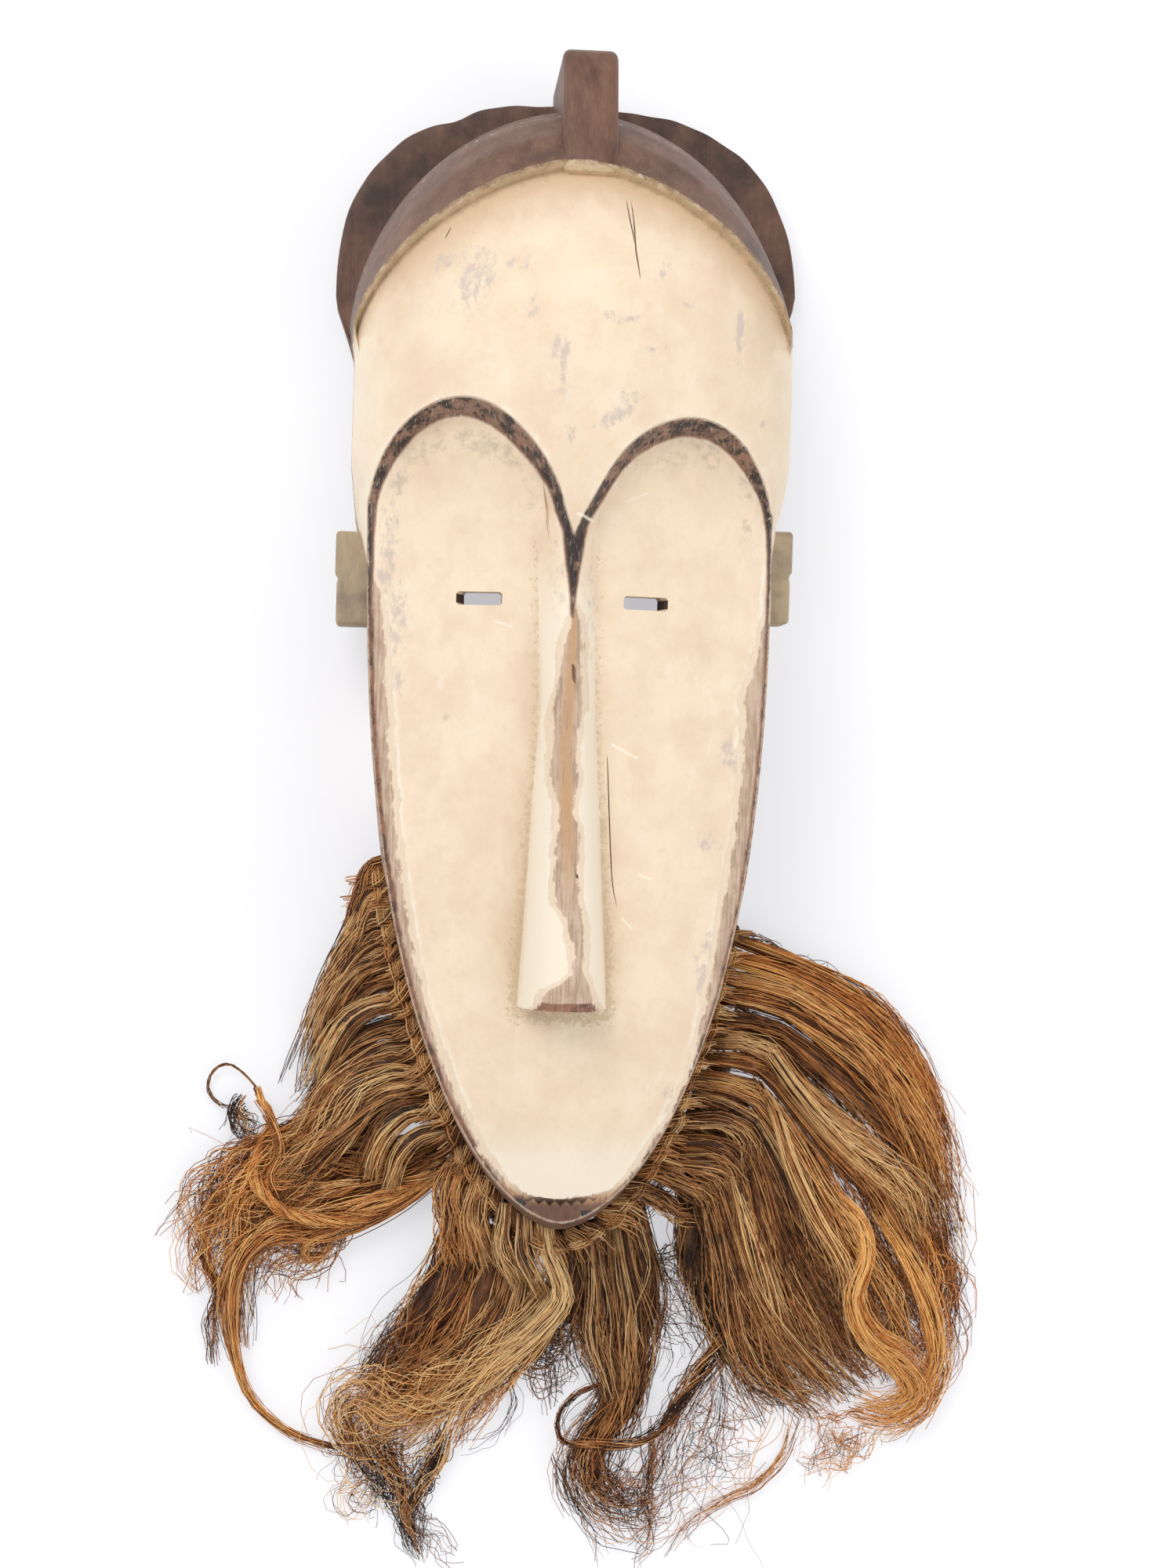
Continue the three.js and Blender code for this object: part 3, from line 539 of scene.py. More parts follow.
def prism(name, outline, low, high, bevel=0.0, segments=2):
    low, high = float(low), float(high)
    deselectAll()
    bpy.ops.mesh.primitive_circle_add(vertices=len(outline), radius=1, fill_type="NGON")
    obj = bpy.context.object
    obj.name = name
    writePoints(obj, [(x, y, low) for x, y in outline])
    bpy.ops.object.mode_set(mode="EDIT")
    bpy.ops.mesh.select_all(action="SELECT")
    bpy.ops.mesh.extrude_region_move(TRANSFORM_OT_translate={"value": (0, 0, high - low)})
    bpy.ops.mesh.select_all(action="SELECT")
    bpy.ops.mesh.normals_make_consistent(inside=False)
    bpy.ops.object.mode_set(mode="OBJECT")
    if bevel > 0:
        modifier = obj.modifiers.new("round", "BEVEL")
        modifier.width = bevel
        modifier.segments = segments
        modifier.angle_limit = math.radians(40)
        applyModifiers(obj)
    return obj


def eyeSlit(x, y, length):
    halfX = length / 2
    halfY = blocks["slitHeight"] / 2
    c = blocks["slitCorner"]
    outline = [(-halfX, -halfY + c), (-halfX + c, -halfY), (halfX - c, -halfY), (halfX, -halfY + c),
               (halfX, halfY - c), (halfX - c, halfY), (-halfX + c, halfY), (-halfX, halfY - c)]
    slit = prism("slit", [(x + px, y + py) for px, py in outline], blocks["slitBack"], blocks["slitFront"])
    # The outer end leans inwards behind the face, so its wall shows from the front, coloured near black as
    # painted shade
    points = readPoints(slit)
    outer = (points[:, 0] - x) * math.copysign(1, x) > 0
    lean = (blocks["slitSkin"] - points[:, 2]) * blocks["slitLean"] * math.copysign(1, x)
    points[:, 0] -= np.where(outer, lean, 0)
    writePoints(slit, points)
    return slit


def earBlock(x, y, side):
    half = blocks["earLength"] / 2
    reach = blocks["earReach"]
    outline = [(-blocks["earBury"], half), (reach, half), (reach, 3), (reach - 2.2, 0), (reach - 1, -2.5),
               (reach - 1, -half), (-blocks["earBury"], -half)]
    outline = [(x + side * px, y + py) for px, py in outline]
    if side > 0:
        outline.reverse()
    low = blocks["earHeight"] - blocks["earDepth"] / 2
    return prism("ear", outline, low, low + blocks["earDepth"], bevel=2.2, segments=3)


def crestBar():
    b = blocks
    small = b["crestRound"] * 0.4
    brim = hairBand["brimHeight"]
    side = [
        (b["crestFoot"] - small, b["crestFootHeight"] - 12), (b["crestFoot"], b["crestFootHeight"] - small),
        (b["crestFoot"] + small, b["crestFootHeight"]),
        (b["crestTop"] - b["crestRound"], b["crestTopHeight"] + small),
        (b["crestTop"] - small, b["crestTopHeight"]),
        (b["crestTop"], b["crestTopHeight"] - b["crestRound"]),
        (b["crestTop"] - small, brim / 2), (b["crestTop"] - b["crestDepth"], brim / 2),
        (b["crestTop"] - b["crestDepth"], b["crestTopHeight"] / 2)
    ]
    half = b["crestWidth"] / 2
    bar = prism("crest", side, -half, half, bevel=b["crestEdge"], segments=4)
    points = readPoints(bar)
    writePoints(bar, np.column_stack([points[:, 2] + b["crestX"], points[:, 0], points[:, 1]]))
    return bar


def mouthBed():
    b = blocks
    half = b["mouthHalf"]
    outline = []
    for i in range(2 * b["teeth"] + 1):
        x = lerp(-half, half, i / (2 * b["teeth"]))
        tooth = b["toothHeight"] if i % 2 else 0
        outline.append((x, b["mouthBow"] * (x / half) ** 2 + tooth - b["toothHeight"]))
    for i in range(8, -1, -1):
        x = lerp(-half, half, i / 8)
        outline.append((x, b["mouthBow"] * (x / half) ** 2 + b["lip"]))
    bed = prism("mouthBed", outline, -b["mouthDepth"], 27)
    x, y = b["mouth"]
    tilt = Matrix.Rotation(math.radians(b["mouthTilt"]), 4, "X")
    height = float(cheekSurface(np.array(x), np.array(y)))
    bed.data.transform(Matrix.Translation((x, y, height)) @ tilt)
    return bed


def crackWedge(crack):
    deselectAll()
    bpy.ops.mesh.primitive_uv_sphere_add(segments=3, ring_count=10, radius=1)
    wedge = bpy.context.object
    ball = readPoints(wedge)
    share = np.arccos(np.clip(ball[:, 2], -1, 1)) / math.pi
    corner = np.rint((np.arctan2(ball[:, 1], ball[:, 0]) % turn) / turn * 3).astype(int) % 3
    middle = smoothLine(crack["line"], share)
    ahead = smoothLine(crack["line"], share + 0.02) - smoothLine(crack["line"], share - 0.02)
    ahead /= np.linalg.norm(ahead, axis=1, keepdims=True)
    taper = np.sin(share * math.pi) ** 0.6
    side = np.choose(corner, [-1, 1, 0])
    half = side * crack["width"] * 0.75 * taper
    x = middle[:, 0] - ahead[:, 1] * half
    y = middle[:, 1] + ahead[:, 0] * half
    skin = np.where(y > 200, foreheadHeight(x, y), faceSurface(x, y))
    writePoints(wedge, np.column_stack([x, y, skin + np.where(side == 0, -1, 0.5) * taper * crack["depth"]]))
    return wedge


cutOrJoin(mask, crestBar(), "UNION")
for place in blocks["ears"]:
    cutOrJoin(mask, earBlock(*place), "UNION")
for place in blocks["eyeSlits"]:
    cutOrJoin(mask, eyeSlit(*place), "DIFFERENCE")
cutOrJoin(mask, mouthBed(), "DIFFERENCE")
for crack in cracks:
    cutOrJoin(mask, crackWedge(crack), "DIFFERENCE")
print("mask carved:", len(mask.data.polygons), "faces")


# Where clay, bare wood, soot and dirt lie on the mask, and where light, shade and highlights are painted on,
# kept as values of its vertices

paint = {
    "reach": 12.0,
    # Bare strip inside the rim of the face, for heights y on the left and on the right
    "stripY": [-232, -190, -150, -90, -30, 20, 45, 70, 95, 125, 150, 175],
    "stripLeft": [6, 7, 8.5, 9.5, 11, 11.5, 12.5, 12.5, 8.5, 6, 6.5, 8.4],
    "stripRight": [5, 4.5, 4.5, 11.5, 12, 12, 15, 9, 5, 4, 4.5, 8.4],
    # Soot on the brow walls
    "wallY": [50, 60, 90, 105, 125, 150, 170, 185],
    "wallLeft": [-3, 0.5, 2.4, 3, 3.6, 5.4, 7.6, 8.4],
    "wallRight": [-3, 1, 2, 2.4, 2.8, 4.6, 7.2, 8.6],
    "wallMiddleY": [128, 145, 160, 175, 185], "wallMiddle": [5.2, 5.4, 6.2, 7.6, 8.4],
    "spindleY": [80, 84, 88, 97, 106, 114.5, 125, 132], "spindle": [-4, 0.2, 1.2, 1.9, 3, 4.5, 5.8, 7],
    "noseBare": [(-117, -19, 21), (-114, -16, 19.7), (-105, -12.7, 15), (-98, 1.2, 13), (-83, -0.9, 11.4),
                 (-70, -3.3, 11), (-62, -9.7, 8.5), (-44, -10.6, 6.4), (-27, -9.8, 7.8), (-14, -9.4, 3.7),
                 (-1, -13, 5.1), (9, -13.3, 4.3), (26, -13.4, 5.4), (43, -12.3, 8.4), (60, -9.8, 6.6),
                 (72, -9.4, 6.9), (85, -6.0, 5.3), (95, -3.0, -1.0)],
    "amberLine": [(-60, 1.3, 3.5), (-20, -2.3, 3.6), (20, -3.5, 3.2), (60, -2.3, 2.6), (86, -1.1, 1.6),
                  (96, -1, 0.4)],
    # Worn patches: x, y, half width, half height, turn in degrees, strength
    "worn": [(-71.6, 267.8, 7, 3.5, 20, 0.7), (-57, 258, 6.5, 14, -18, 0.85), (-35, 265, 5, 3.5, 10, 0.7),
             (-28.5, 242, 3.5, 4.5, 0, 0.6), (11, 239.5, 4, 1.8, -15, 0.8), (23, 237.5, 5, 1.6, 10, 0.75),
             (40, 264.6, 2, 3.6, -30, 0.7), (52, 247, 2.6, 1.3, 20, 1.0), (81, 234.5, 2.0, 11, -2, 0.95),
             (-12.5, 221.5, 3.8, 7, 0, 0.95), (-10.6, 209, 1.6, 6, 0, 0.8), (35, 223, 5.5, 1.3, 25, 0.8),
             (-10.7, 198.4, 5, 4, 0, 0.5), (22.5, 199.8, 6, 2.4, 0, 0.7), (18.3, 190, 11, 3, 38, 0.95),
             (97, 191, 3.2, 1.4, 10, 0.7), (-8, 106, 4, 20, 0, 0.42), (7.5, 98, 3, 26, 0, 0.42),
             (84.7, 19, 4, 8, 8, 0.85), (77.5, -86, 3, 8, 10, 0.8), (76.5, -104, 4.5, 12, 12, 0.9),
             (75, -28, 5.5, 4, 0, 0.65), (-91, 50, 3, 6, 0, 0.6), (-89, -9, 2.4, 8, 0, 0.6),
             (-92, 84, 5, 16, 0, 0.7), (-70, -160, 4, 9, -22, 0.6), (60, -166, 4, 9, 26, 0.6),
             (-97, 118, 4, 26, -4, 0.75), (-94, 150, 3, 10, -18, 0.6), (-96, 60, 3, 14, 0, 0.6)],
    # Grey dirt, written the same way
    "grime": [(-45, 171.5, 13, 5, -18, 0.8), (-62, 177, 12, 4, 0, 0.55), (-80, 168, 10, 5, 32, 0.6),
              (-92, 155, 4, 9, -20, 0.6), (64.7, 180, 10, 4, -8, 0.7), (68, 170.7, 6, 4, -30, 0.6),
              (47.8, 169.6, 14, 4, 6, 0.5), (90, 158, 4, 7, 30, 0.6), (90.6, 134.5, 3, 6, 0, 0.55),
              (33, 166, 8, 5, 50, 0.45), (-5.7, 178.8, 2.4, 2.4, 0, 0.8), (-64.9, 33.5, 1.8, 1.6, 0, 0.9),
              (-24, 150, 4, 14, 20, 0.4)],
    # Dark red spots under the tip of the nose
    "spots": [(-13.3, -114.6, 8, 2.6, 0, 1), (9.5, -114.2, 10, 2.4, 0, 1), (-0.3, 52, 0.8, 2.4, 10, 0.8),
              (-0.9, 60, 0.8, 1.6, 0, 0.8), (-7, -43, 1.3, 1.5, 0, 0.9), (2.1, -41.5, 1.4, 1.2, 30, 0.9),
              (4.2, -45, 0.9, 3.4, 0, 0.9)]
}


def patches(entries, x, y):
    total = 0 * x
    for middleX, middleY, halfX, halfY, degrees, strength in entries:
        cosine = math.cos(math.radians(degrees))
        sine = math.sin(math.radians(degrees))
        across = (x - middleX) * cosine + (y - middleY) * sine
        along = (y - middleY) * cosine - (x - middleX) * sine
        far = np.hypot(across / halfX, along / halfY)
        total = np.maximum(total, strength * np.clip(1.6 - far * 0.85, 0, 1))
    return total


def bySide(x, y, heights, left, right):
    return np.where(x < 0, np.interp(y, heights, left), np.interp(y, heights, right))


def paintMask(points):
    x, y, z = points.T
    angle = np.arctan2(y, x)
    degrees = np.degrees(angle)
    radius = np.hypot(x, y)
    edge = distanceTo(np.vstack([heartTop, heartTop[:1]]), x, y)
    edge = np.where(radius < radiusAt(heartTop, angle), edge, -edge)
    onFace = edge > 0
    foot = radiusAt(dome(hairBand["foot"], 120), angle)
    banded = (degrees > 66) & (degrees < 115) | (foot > 0) & (y > hairBand["leftEnd"][1] - 2)
    beyondFoot = np.where(banded, radius - foot, -20)
    skin = np.where(onFace, faceSurface(x, y), foreheadHeight(x, y))
    hidden = (radius < radiusAt(hollowOutline, angle) + 0.8) & (z < skin - 7)
    cut = (skin - z > 0.45) & ~hidden & (np.abs(edge) > 1.5) & (beyondFoot < -3) & (np.abs(x) < 85)
    fields = {}

    # Clay: millimetres inside its edge, less than nought where the wood is bare
    strip = bySide(x, y, paint["stripY"], paint["stripLeft"], paint["stripRight"])
    inner = 1 - ramp(38, 62, np.abs(x + 2))
    middleWall = np.interp(y, paint["wallMiddleY"], paint["wallMiddle"])
    strip = np.where(y > 90, lerp(strip, middleWall, inner), strip)
    clay = edge - strip + 2.2 * ramp(98, 112, y)
    bareY, bareLeft, bareRight = np.array(paint["noseBare"]).T
    bare = np.minimum(x - np.interp(y, bareY, bareLeft), np.interp(y, bareY, bareRight) - x)
    bare = np.where((y > nose["base"] - 0.5) & (y < bareY[-1]), bare, -12)
    clay = np.minimum(clay, -bare)
    mouthLine = np.interp(x, [-40, -31, -2, 31, 40], [-212, -215.5, -219.3, -214.4, -210])
    clay = np.minimum(clay, y - mouthLine)
    low = np.interp(y, [-240, 20, 60, 100, 160, 220], [130, 112, 85, 48, 34, 30])
    outside = np.minimum(np.minimum(1.6 - edge * 0.5, (z - low) * 0.5), 2.5 - beyondFoot)
    clay = np.where(onFace, clay, outside)
    fields["clay"] = np.where(hidden, -12, clay) / (2 * paint["reach"]) + 0.5

    middle = ramp(14, 30, np.abs(x))
    wall = bySide(x, y, paint["wallY"], paint["wallLeft"], paint["wallRight"])
    wall = lerp(middleWall, wall, middle)
    wall = np.where(onFace & ((middle > 0) | (y > 127)), wall - edge, -12)
    spindle = np.interp(y, paint["spindleY"], paint["spindle"]) - np.abs(x + 2.2)
    spindle = np.where(onFace & (y < 133) & (y > 78), spindle, -12)
    sootAndShade = np.maximum(wall, spindle)
    # Cracks and slit walls sunk below the skin take the full soot colour as painted shade; the mouth is left
    # out
    inMouth = cut & (y < -200)
    fields["sootAndShade"] = np.where(cut & ~inMouth, 12, sootAndShade) / (2 * paint["reach"]) + 0.5

    rust = np.where(x < 0, 2.6, 1.6) * ramp(-232, -190, y) * (1 - ramp(110, 165, y)) - np.abs(edge - 0.3)
    spots = patches(paint["spots"], x, y)
    fields["rust"] = np.where(spots > 0.25, spots * 4 - 1, rust) / (2 * paint["reach"]) + 0.5

    fields["bleached"] = np.where(onFace, ramp(-222, -206, y), 0)
    amberY, amberX, amberHalf = np.array(paint["amberLine"]).T
    amber = 1.5 - np.abs(x - np.interp(y, amberY, amberX)) / np.interp(y, amberY, amberHalf)
    amber = np.clip(amber, 0, 1) * ramp(-75, -10, y) * (y < 97)
    ledge = ramp(-223, -218, y) * (1 - ramp(-213, -208, y)) * (np.abs(x) < 60) * 0.8
    fields["amber"] = np.where(onFace & ~inMouth, np.maximum(amber, ledge), 0)

    left, right, low = noseSides(y)
    footY = [-118, -60, 0, 125]
    leftFoot = np.where(x < left, 1 - (left - x) / 9.0, 0) * np.interp(y, footY, [1, 0.8, 0.55, 0.45])
    rightFoot = np.where(x > right, 1 - (x - right) / 8.5, 0) * np.interp(y, footY, [0.95, 0.8, 0.55, 0.4])
    feet = np.maximum(leftFoot, rightFoot) * ramp(-124, -116, y) * (1 - ramp(120, 140, y))
    under = (1 - np.abs(nose["base"] - 4 - y) / 9) * (1 - ramp(22, 34, np.abs(x))) * 0.75
    fields["feet"] = np.where(onFace, np.clip(np.maximum(feet, under), 0, 1), 0)

    # Painted light and shade on the clay: lighter than usual above a half, darker below it. Painted shade
    # beside the nose, under the hair band, between the brows and under the brow arches; painted light on the
    # nose, the chin and the temples
    leftShade = np.exp(-np.clip(left - x, 0, 200) / 15) * (x < left)
    rightShade = np.exp(-np.clip(x - right, 0, 200) / 11) * (x > right)
    fallOff = np.interp(y, [-150, -120, -95, -20, 60, 130], [0, 0.5, 1, 0.8, 0.55, 0.3])
    shade = np.maximum(leftShade, rightShade * 0.85) * fallOff
    # Painted shade under the hair band, on the forehead between the brows and under the brow arches
    shade = np.where(onFace, shade, np.where(banded, 1.2 * np.exp(np.clip(beyondFoot, -90, 0) / 22), 0))
    between = (1 - ramp(20, 60, np.abs(x + 2))) * (1 - ramp(150, 230, y)) * 0.3
    shade = np.maximum(shade, np.where(onFace, 0, between))
    shade = np.maximum(shade, np.where(onFace, ramp(120, 165, y) * 0.35, 0))
    onNose = ramp(-1.5, 2.5, np.minimum(x - left, right - x)) * ramp(-119, -116, y)
    onNose = onNose * (1 - ramp(70, 128, y)) * onFace
    # Painted light on the chin, the temples and the nose
    bright = np.where(onFace, 0.8 * ramp(-165, -205, y), ramp(86, 124, np.abs(x)) * 0.7)
    bright = np.maximum(bright, onNose * 0.9)
    fields["light"] = 0.5 + 0.5 * bright - 0.5 * np.clip(shade, 0, 1) * (1 - onNose)
    step = np.where(banded, 1 - ramp(1.8, 4.2, np.abs(beyondFoot - 1.0)), 0)
    groove = np.where(banded, 1 - ramp(0, 7, np.abs(beyondFoot + 1.5)), 0)
    fields["step"] = np.where(hidden, 0, step)
    fields["grime"] = np.maximum(patches(paint["grime"], x, y), groove * 0.45) * ~hidden
    fields["worn"] = patches(paint["worn"], x, y) * ~hidden
    # Pale edges, partly wear and partly a painted highlight: a thin line along the rim of the heart, and a
    # broader one along the hair band's outer edge, stronger on the right
    rim = 1 - np.clip(np.abs(edge) / 1.1, 0, 1)
    pastEdge = radius - radiusAt(dome(hairBand["edge"], 120), angle)
    bandEdge = np.where(banded, 1 - np.clip(np.abs(pastEdge + 2) / 6, 0, 1), 0) * (z > 30)
    fields["pale"] = np.maximum(rim, bandEdge * (0.35 + 0.3 * ramp(75, 55, degrees)))
    onBrim = np.where(banded, ramp(-1, 2, pastEdge), 0)
    onCrest = (np.abs(x - blocks["crestX"]) < blocks["crestWidth"] * 0.36) & (y > blocks["crestFoot"] + 3)
    fields["stain"] = 0.4 + 0.5 * onBrim * (z < 40) + 0.5 * onCrest + 0.6 * inMouth + 0.3 * (y < -232)
    return {name: np.clip(values, 0, 1) for name, values in fields.items()}


def faceKinds(obj):
    # 0 painted outside, 1 hollow, 2 outer ends of the slits, 3 ears
    count = len(obj.data.polygons)
    centre = np.empty(count * 3)
    obj.data.polygons.foreach_get("center", centre)
    x, y, z = centre.reshape(-1, 3).T
    normal = np.empty(count * 3)
    obj.data.polygons.foreach_get("normal", normal)
    normal = normal.reshape(-1, 3)
    angle = np.arctan2(y, x)
    radius = np.hypot(x, y)
    skin = np.where(radius < radiusAt(heartTop, angle), faceSurface(x, y), foreheadHeight(x, y))
    kinds = np.where((radius < radiusAt(hollowOutline, angle) + 0.5) & (z < skin - 7.5), 1, 0)
    for slitX, slitY, length in blocks["eyeSlits"]:
        near = (np.abs(x - slitX) < length / 2 + 8) & (np.abs(y - slitY) < 5) & (np.abs(normal[:, 2]) < 0.7)
        outerEnd = near & (np.abs(normal[:, 0]) > 0.7) & ((x - slitX) * slitX > 0)
        kinds[near & (z > skin - 20)] = 0
        kinds[outerEnd] = 2
    side = radiusAt(sideRim, angle)
    ear = (radius > side + 1.5) & (np.abs(x) > 90) & (y > 78) & (y < 145)
    kinds[ear] = 3
    return kinds


maskPoints = readPoints(mask)
for name, values in paintMask(maskPoints).items():
    setAttribute(mask, name, values)
maskKinds = faceKinds(mask)
writePoints(mask, toFrame(maskPoints))
pick(mask)
bpy.ops.object.shade_smooth_by_angle(angle=math.radians(35))
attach(mask, "root")
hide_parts("carved_mask")


# Small helpers for materials

def newMaterial(name):
    material = bpy.data.materials.new(name)
    material.use_nodes = True
    return material, material.node_tree, material.node_tree.nodes["Principled BSDF"]


def fillInputs(tree, node, inputs):
    for key, value in inputs.items():
        if isinstance(value, bpy.types.NodeSocket):
            tree.links.new(value, node.inputs[key])
        elif node.inputs[key].type == "RGBA":
            node.inputs[key].default_value = (*value, 1)
        else:
            node.inputs[key].default_value = value


def addNode(tree, kind, inputs=None, **settings):
    node = tree.nodes.new("ShaderNode" + kind)
    for name, value in settings.items():
        setattr(node, name, value)
    fillInputs(tree, node, inputs or {})
    return node


def calc(tree, operation, *values, clamp=False):
    node = addNode(tree, "Math", dict(enumerate(values)), operation=operation, use_clamp=clamp)
    return node.outputs[0]


def blend(tree, share, first, second):
    return addNode(tree, "Mix", {0: share, 6: first, 7: second}, data_type="RGBA").outputs[2]


def smoothStep(tree, value, low, high):
    inputs = {"Value": value, "From Min": low, "From Max": high}
    return addNode(tree, "MapRange", inputs, interpolation_type="SMOOTHSTEP").outputs[0]


def noise(tree, place, size, detail=4.0, roughness=0.6):
    inputs = {"Vector": place, "Scale": 1 / size, "Detail": detail, "Roughness": roughness}
    return addNode(tree, "TexNoise", inputs).outputs[0]


def stretched(tree, place, scale):
    return addNode(tree, "Mapping", {"Vector": place, "Scale": scale}).outputs[0]


def facePlace(tree):
    # Object coordinates in millimetres around the middle of the face
    place = addNode(tree, "TexCoord").outputs["Object"]
    inputs = {"Vector": place, "Scale": (1000, 1000, 1000), "Location": tuple(-faceMiddle)}
    return addNode(tree, "Mapping", inputs).outputs[0]


def field(tree, name):
    return addNode(tree, "Attribute", attribute_name=name).outputs["Fac"]


def newGroup(name, inputs, outputs):
    group = bpy.data.node_groups.new(name, "ShaderNodeTree")
    for socketName, kind, value in inputs:
        socket = group.interface.new_socket(socketName, in_out="INPUT", socket_type="NodeSocket" + kind)
        if kind == "Color":
            socket.default_value = (*value, 1)
        elif kind == "Float":
            socket.default_value = value
    for socketName, kind in outputs:
        group.interface.new_socket(socketName, in_out="OUTPUT", socket_type="NodeSocket" + kind)
    return group, group.nodes.new("NodeGroupInput").outputs, group.nodes.new("NodeGroupOutput").inputs


def useGroup(tree, group, inputs):
    node = tree.nodes.new("ShaderNodeGroup")
    node.node_tree = group
    fillInputs(tree, node, inputs)
    return node.outputs


def woodGrainGroup():
    group, given, result = newGroup(
        "woodGrain",
        [("Vector", "Vector", None), ("Light", "Color", (0.4, 0.2, 0.1)),
         ("Dark", "Color", (0.1, 0.05, 0.03)), ("Stain", "Color", (0.05, 0.03, 0.02)),
         ("Stained", "Float", 0.4)],
        [("Color", "Color"), ("Height", "Float")])
    fine = noise(group, stretched(group, given["Vector"], (1, 0.07, 0.5)), 1.1, 5, 0.7)
    broad = noise(group, stretched(group, given["Vector"], (1, 0.22, 1)), 11, 4, 0.6)
    cloud = noise(group, given["Vector"], 26, 6, 0.64)
    tone = calc(group, "MULTIPLY_ADD", fine, 1.3, -0.65)
    tone = calc(group, "ADD", tone, calc(group, "MULTIPLY_ADD", broad, 1.9, -0.45), clamp=True)
    colour = blend(group, tone, given["Dark"], given["Light"])
    reach = calc(group, "MULTIPLY_ADD", given["Stained"], -0.36, 0.74)
    stain = calc(group, "SUBTRACT", calc(group, "MULTIPLY_ADD", fine, 0.12, cloud), reach)
    stain = calc(group, "MULTIPLY", stain, 3.4, clamp=True)
    colour = blend(group, calc(group, "MULTIPLY", stain, 0.8), colour, given["Stain"])
    group.links.new(colour, result["Color"])
    group.links.new(fine, result["Height"])
    return group


def raggedMaskGroup():
    # Turns a distance field into a mask with a worn, uneven edge
    group, given, result = newGroup(
        "raggedMask",
        [("Vector", "Vector", None), ("Field", "Float", 0.5), ("Ragged", "Float", 4.0),
         ("Soft", "Float", 0.4)],
        [("Mask", "Float"), ("Depth", "Float")])
    rough = noise(group, stretched(group, given["Vector"], (1, 0.55, 1)), 9, 7, 0.72)
    depth = calc(group, "MULTIPLY_ADD", given["Field"], 2 * paint["reach"], -paint["reach"])
    swing = calc(group, "MULTIPLY", given["Ragged"], 4)
    rough = calc(group, "MULTIPLY", calc(group, "SUBTRACT", rough, 0.5), swing)
    depth = calc(group, "ADD", depth, rough)
    edge = calc(group, "DIVIDE", depth, given["Soft"])
    group.links.new(calc(group, "MULTIPLY_ADD", edge, 0.5, 0.5, clamp=True), result["Mask"])
    group.links.new(depth, result["Depth"])
    return group


def patchyGroup():
    # Breaks a soft value up into worn flakes
    group, given, result = newGroup(
        "patchy",
        [("Vector", "Vector", None), ("Value", "Float", 0.5), ("Size", "Float", 3.0),
         ("Breakup", "Float", 1.2), ("Sharp", "Float", 4.0)],
        [("Mask", "Float")])
    scale = calc(group, "DIVIDE", 1.0, given["Size"])
    inputs = {"Vector": given["Vector"], "Scale": scale, "Detail": 6.0, "Roughness": 0.7}
    flakes = calc(group, "SUBTRACT", addNode(group, "TexNoise", inputs).outputs[0], 0.5)
    broken = calc(group, "MULTIPLY", flakes, calc(group, "MULTIPLY", given["Breakup"], 2))
    value = calc(group, "ADD", given["Value"], broken)
    value = calc(group, "MULTIPLY", calc(group, "SUBTRACT", value, 0.4), given["Sharp"], clamp=True)
    group.links.new(calc(group, "MULTIPLY", value, calc(group, "MULTIPLY", given["Value"], 5, clamp=True)),
                    result["Mask"])
    return group


def lineMarkGroup():
    # A thin stroke from start to end
    group, given, result = newGroup(
        "lineMark",
        [("Vector", "Vector", None), ("Start", "Vector", None), ("End", "Vector", None),
         ("Width", "Float", 0.5)],
        [("Mask", "Float")])

    def vector(operation, first, second, key=1):
        return addNode(group, "VectorMath", {0: first, key: second}, operation=operation).outputs

    flat = vector("MULTIPLY", given["Vector"], (1, 1, 0))[0]
    reach = vector("SUBTRACT", flat, given["Start"])[0]
    span = vector("SUBTRACT", given["End"], given["Start"])[0]
    along = vector("DOT_PRODUCT", reach, span)["Value"]
    share = calc(group, "DIVIDE", along, vector("DOT_PRODUCT", span, span)["Value"], clamp=True)
    nearest = vector("SCALE", span, share, "Scale")[0]
    distance = vector("DISTANCE", reach, nearest)["Value"]
    waver = calc(group, "MULTIPLY", calc(group, "SUBTRACT", noise(group, flat, 2.2, 4, 0.7), 0.5), 1.6)
    distance = calc(group, "DIVIDE", distance, given["Width"])
    distance = calc(group, "ADD", distance, waver)
    group.links.new(calc(group, "SUBTRACT", 1.3, distance, clamp=True), result["Mask"])
    return group


woodGrain = woodGrainGroup()
raggedMask = raggedMaskGroup()
patchy = patchyGroup()
lineMark = lineMarkGroup()

clayLook = {
    "cream": (0.862, 0.710, 0.538), "tan": (0.765, 0.585, 0.425), "yellow": (0.70, 0.545, 0.37),
    "paleClay": (0.880, 0.795, 0.655), "shade": (0.64, 0.465, 0.305), "lavender": (0.56, 0.475, 0.425),
    "grime": (0.43, 0.365, 0.265), "sand": (0.56, 0.425, 0.265), "sandDark": (0.24, 0.175, 0.10),
    "scratch": (0.93, 0.85, 0.70)
}
woodLook = {
    "light": (0.222, 0.116, 0.078), "dark": (0.098, 0.048, 0.032), "stain": (0.036, 0.023, 0.019),
    "faded": (0.60, 0.445, 0.335), "fadedDark": (0.41, 0.285, 0.20), "amber": (0.54, 0.32, 0.165),
    "rust": (0.285, 0.140, 0.088), "rustDark": (0.10, 0.050, 0.036), "sootAndShade": (0.050, 0.038, 0.036),
    "sootAndShadeBrown": (0.305, 0.180, 0.125), "hatch": (0.50, 0.41, 0.34), "paleEdge": (0.78, 0.64, 0.50)
}
scratches = [
    ((21.7, 21.1, 0), (35.0, 14.5, 0), 0.7), ((-41, 83.4, 0), (-32.4, 80.9, 0), 0.6),
    ((37.7, -45.8, 0), (44.3, -48.1, 0), 0.7), ((29.7, -68.9, 0), (34.8, -73.7, 0), 0.6),
    ((-1.0, 138.4, 0), (7.6, 135.6, 0), 0.9), ((25, 147, 0), (36, 152, 0), 0.4)
]


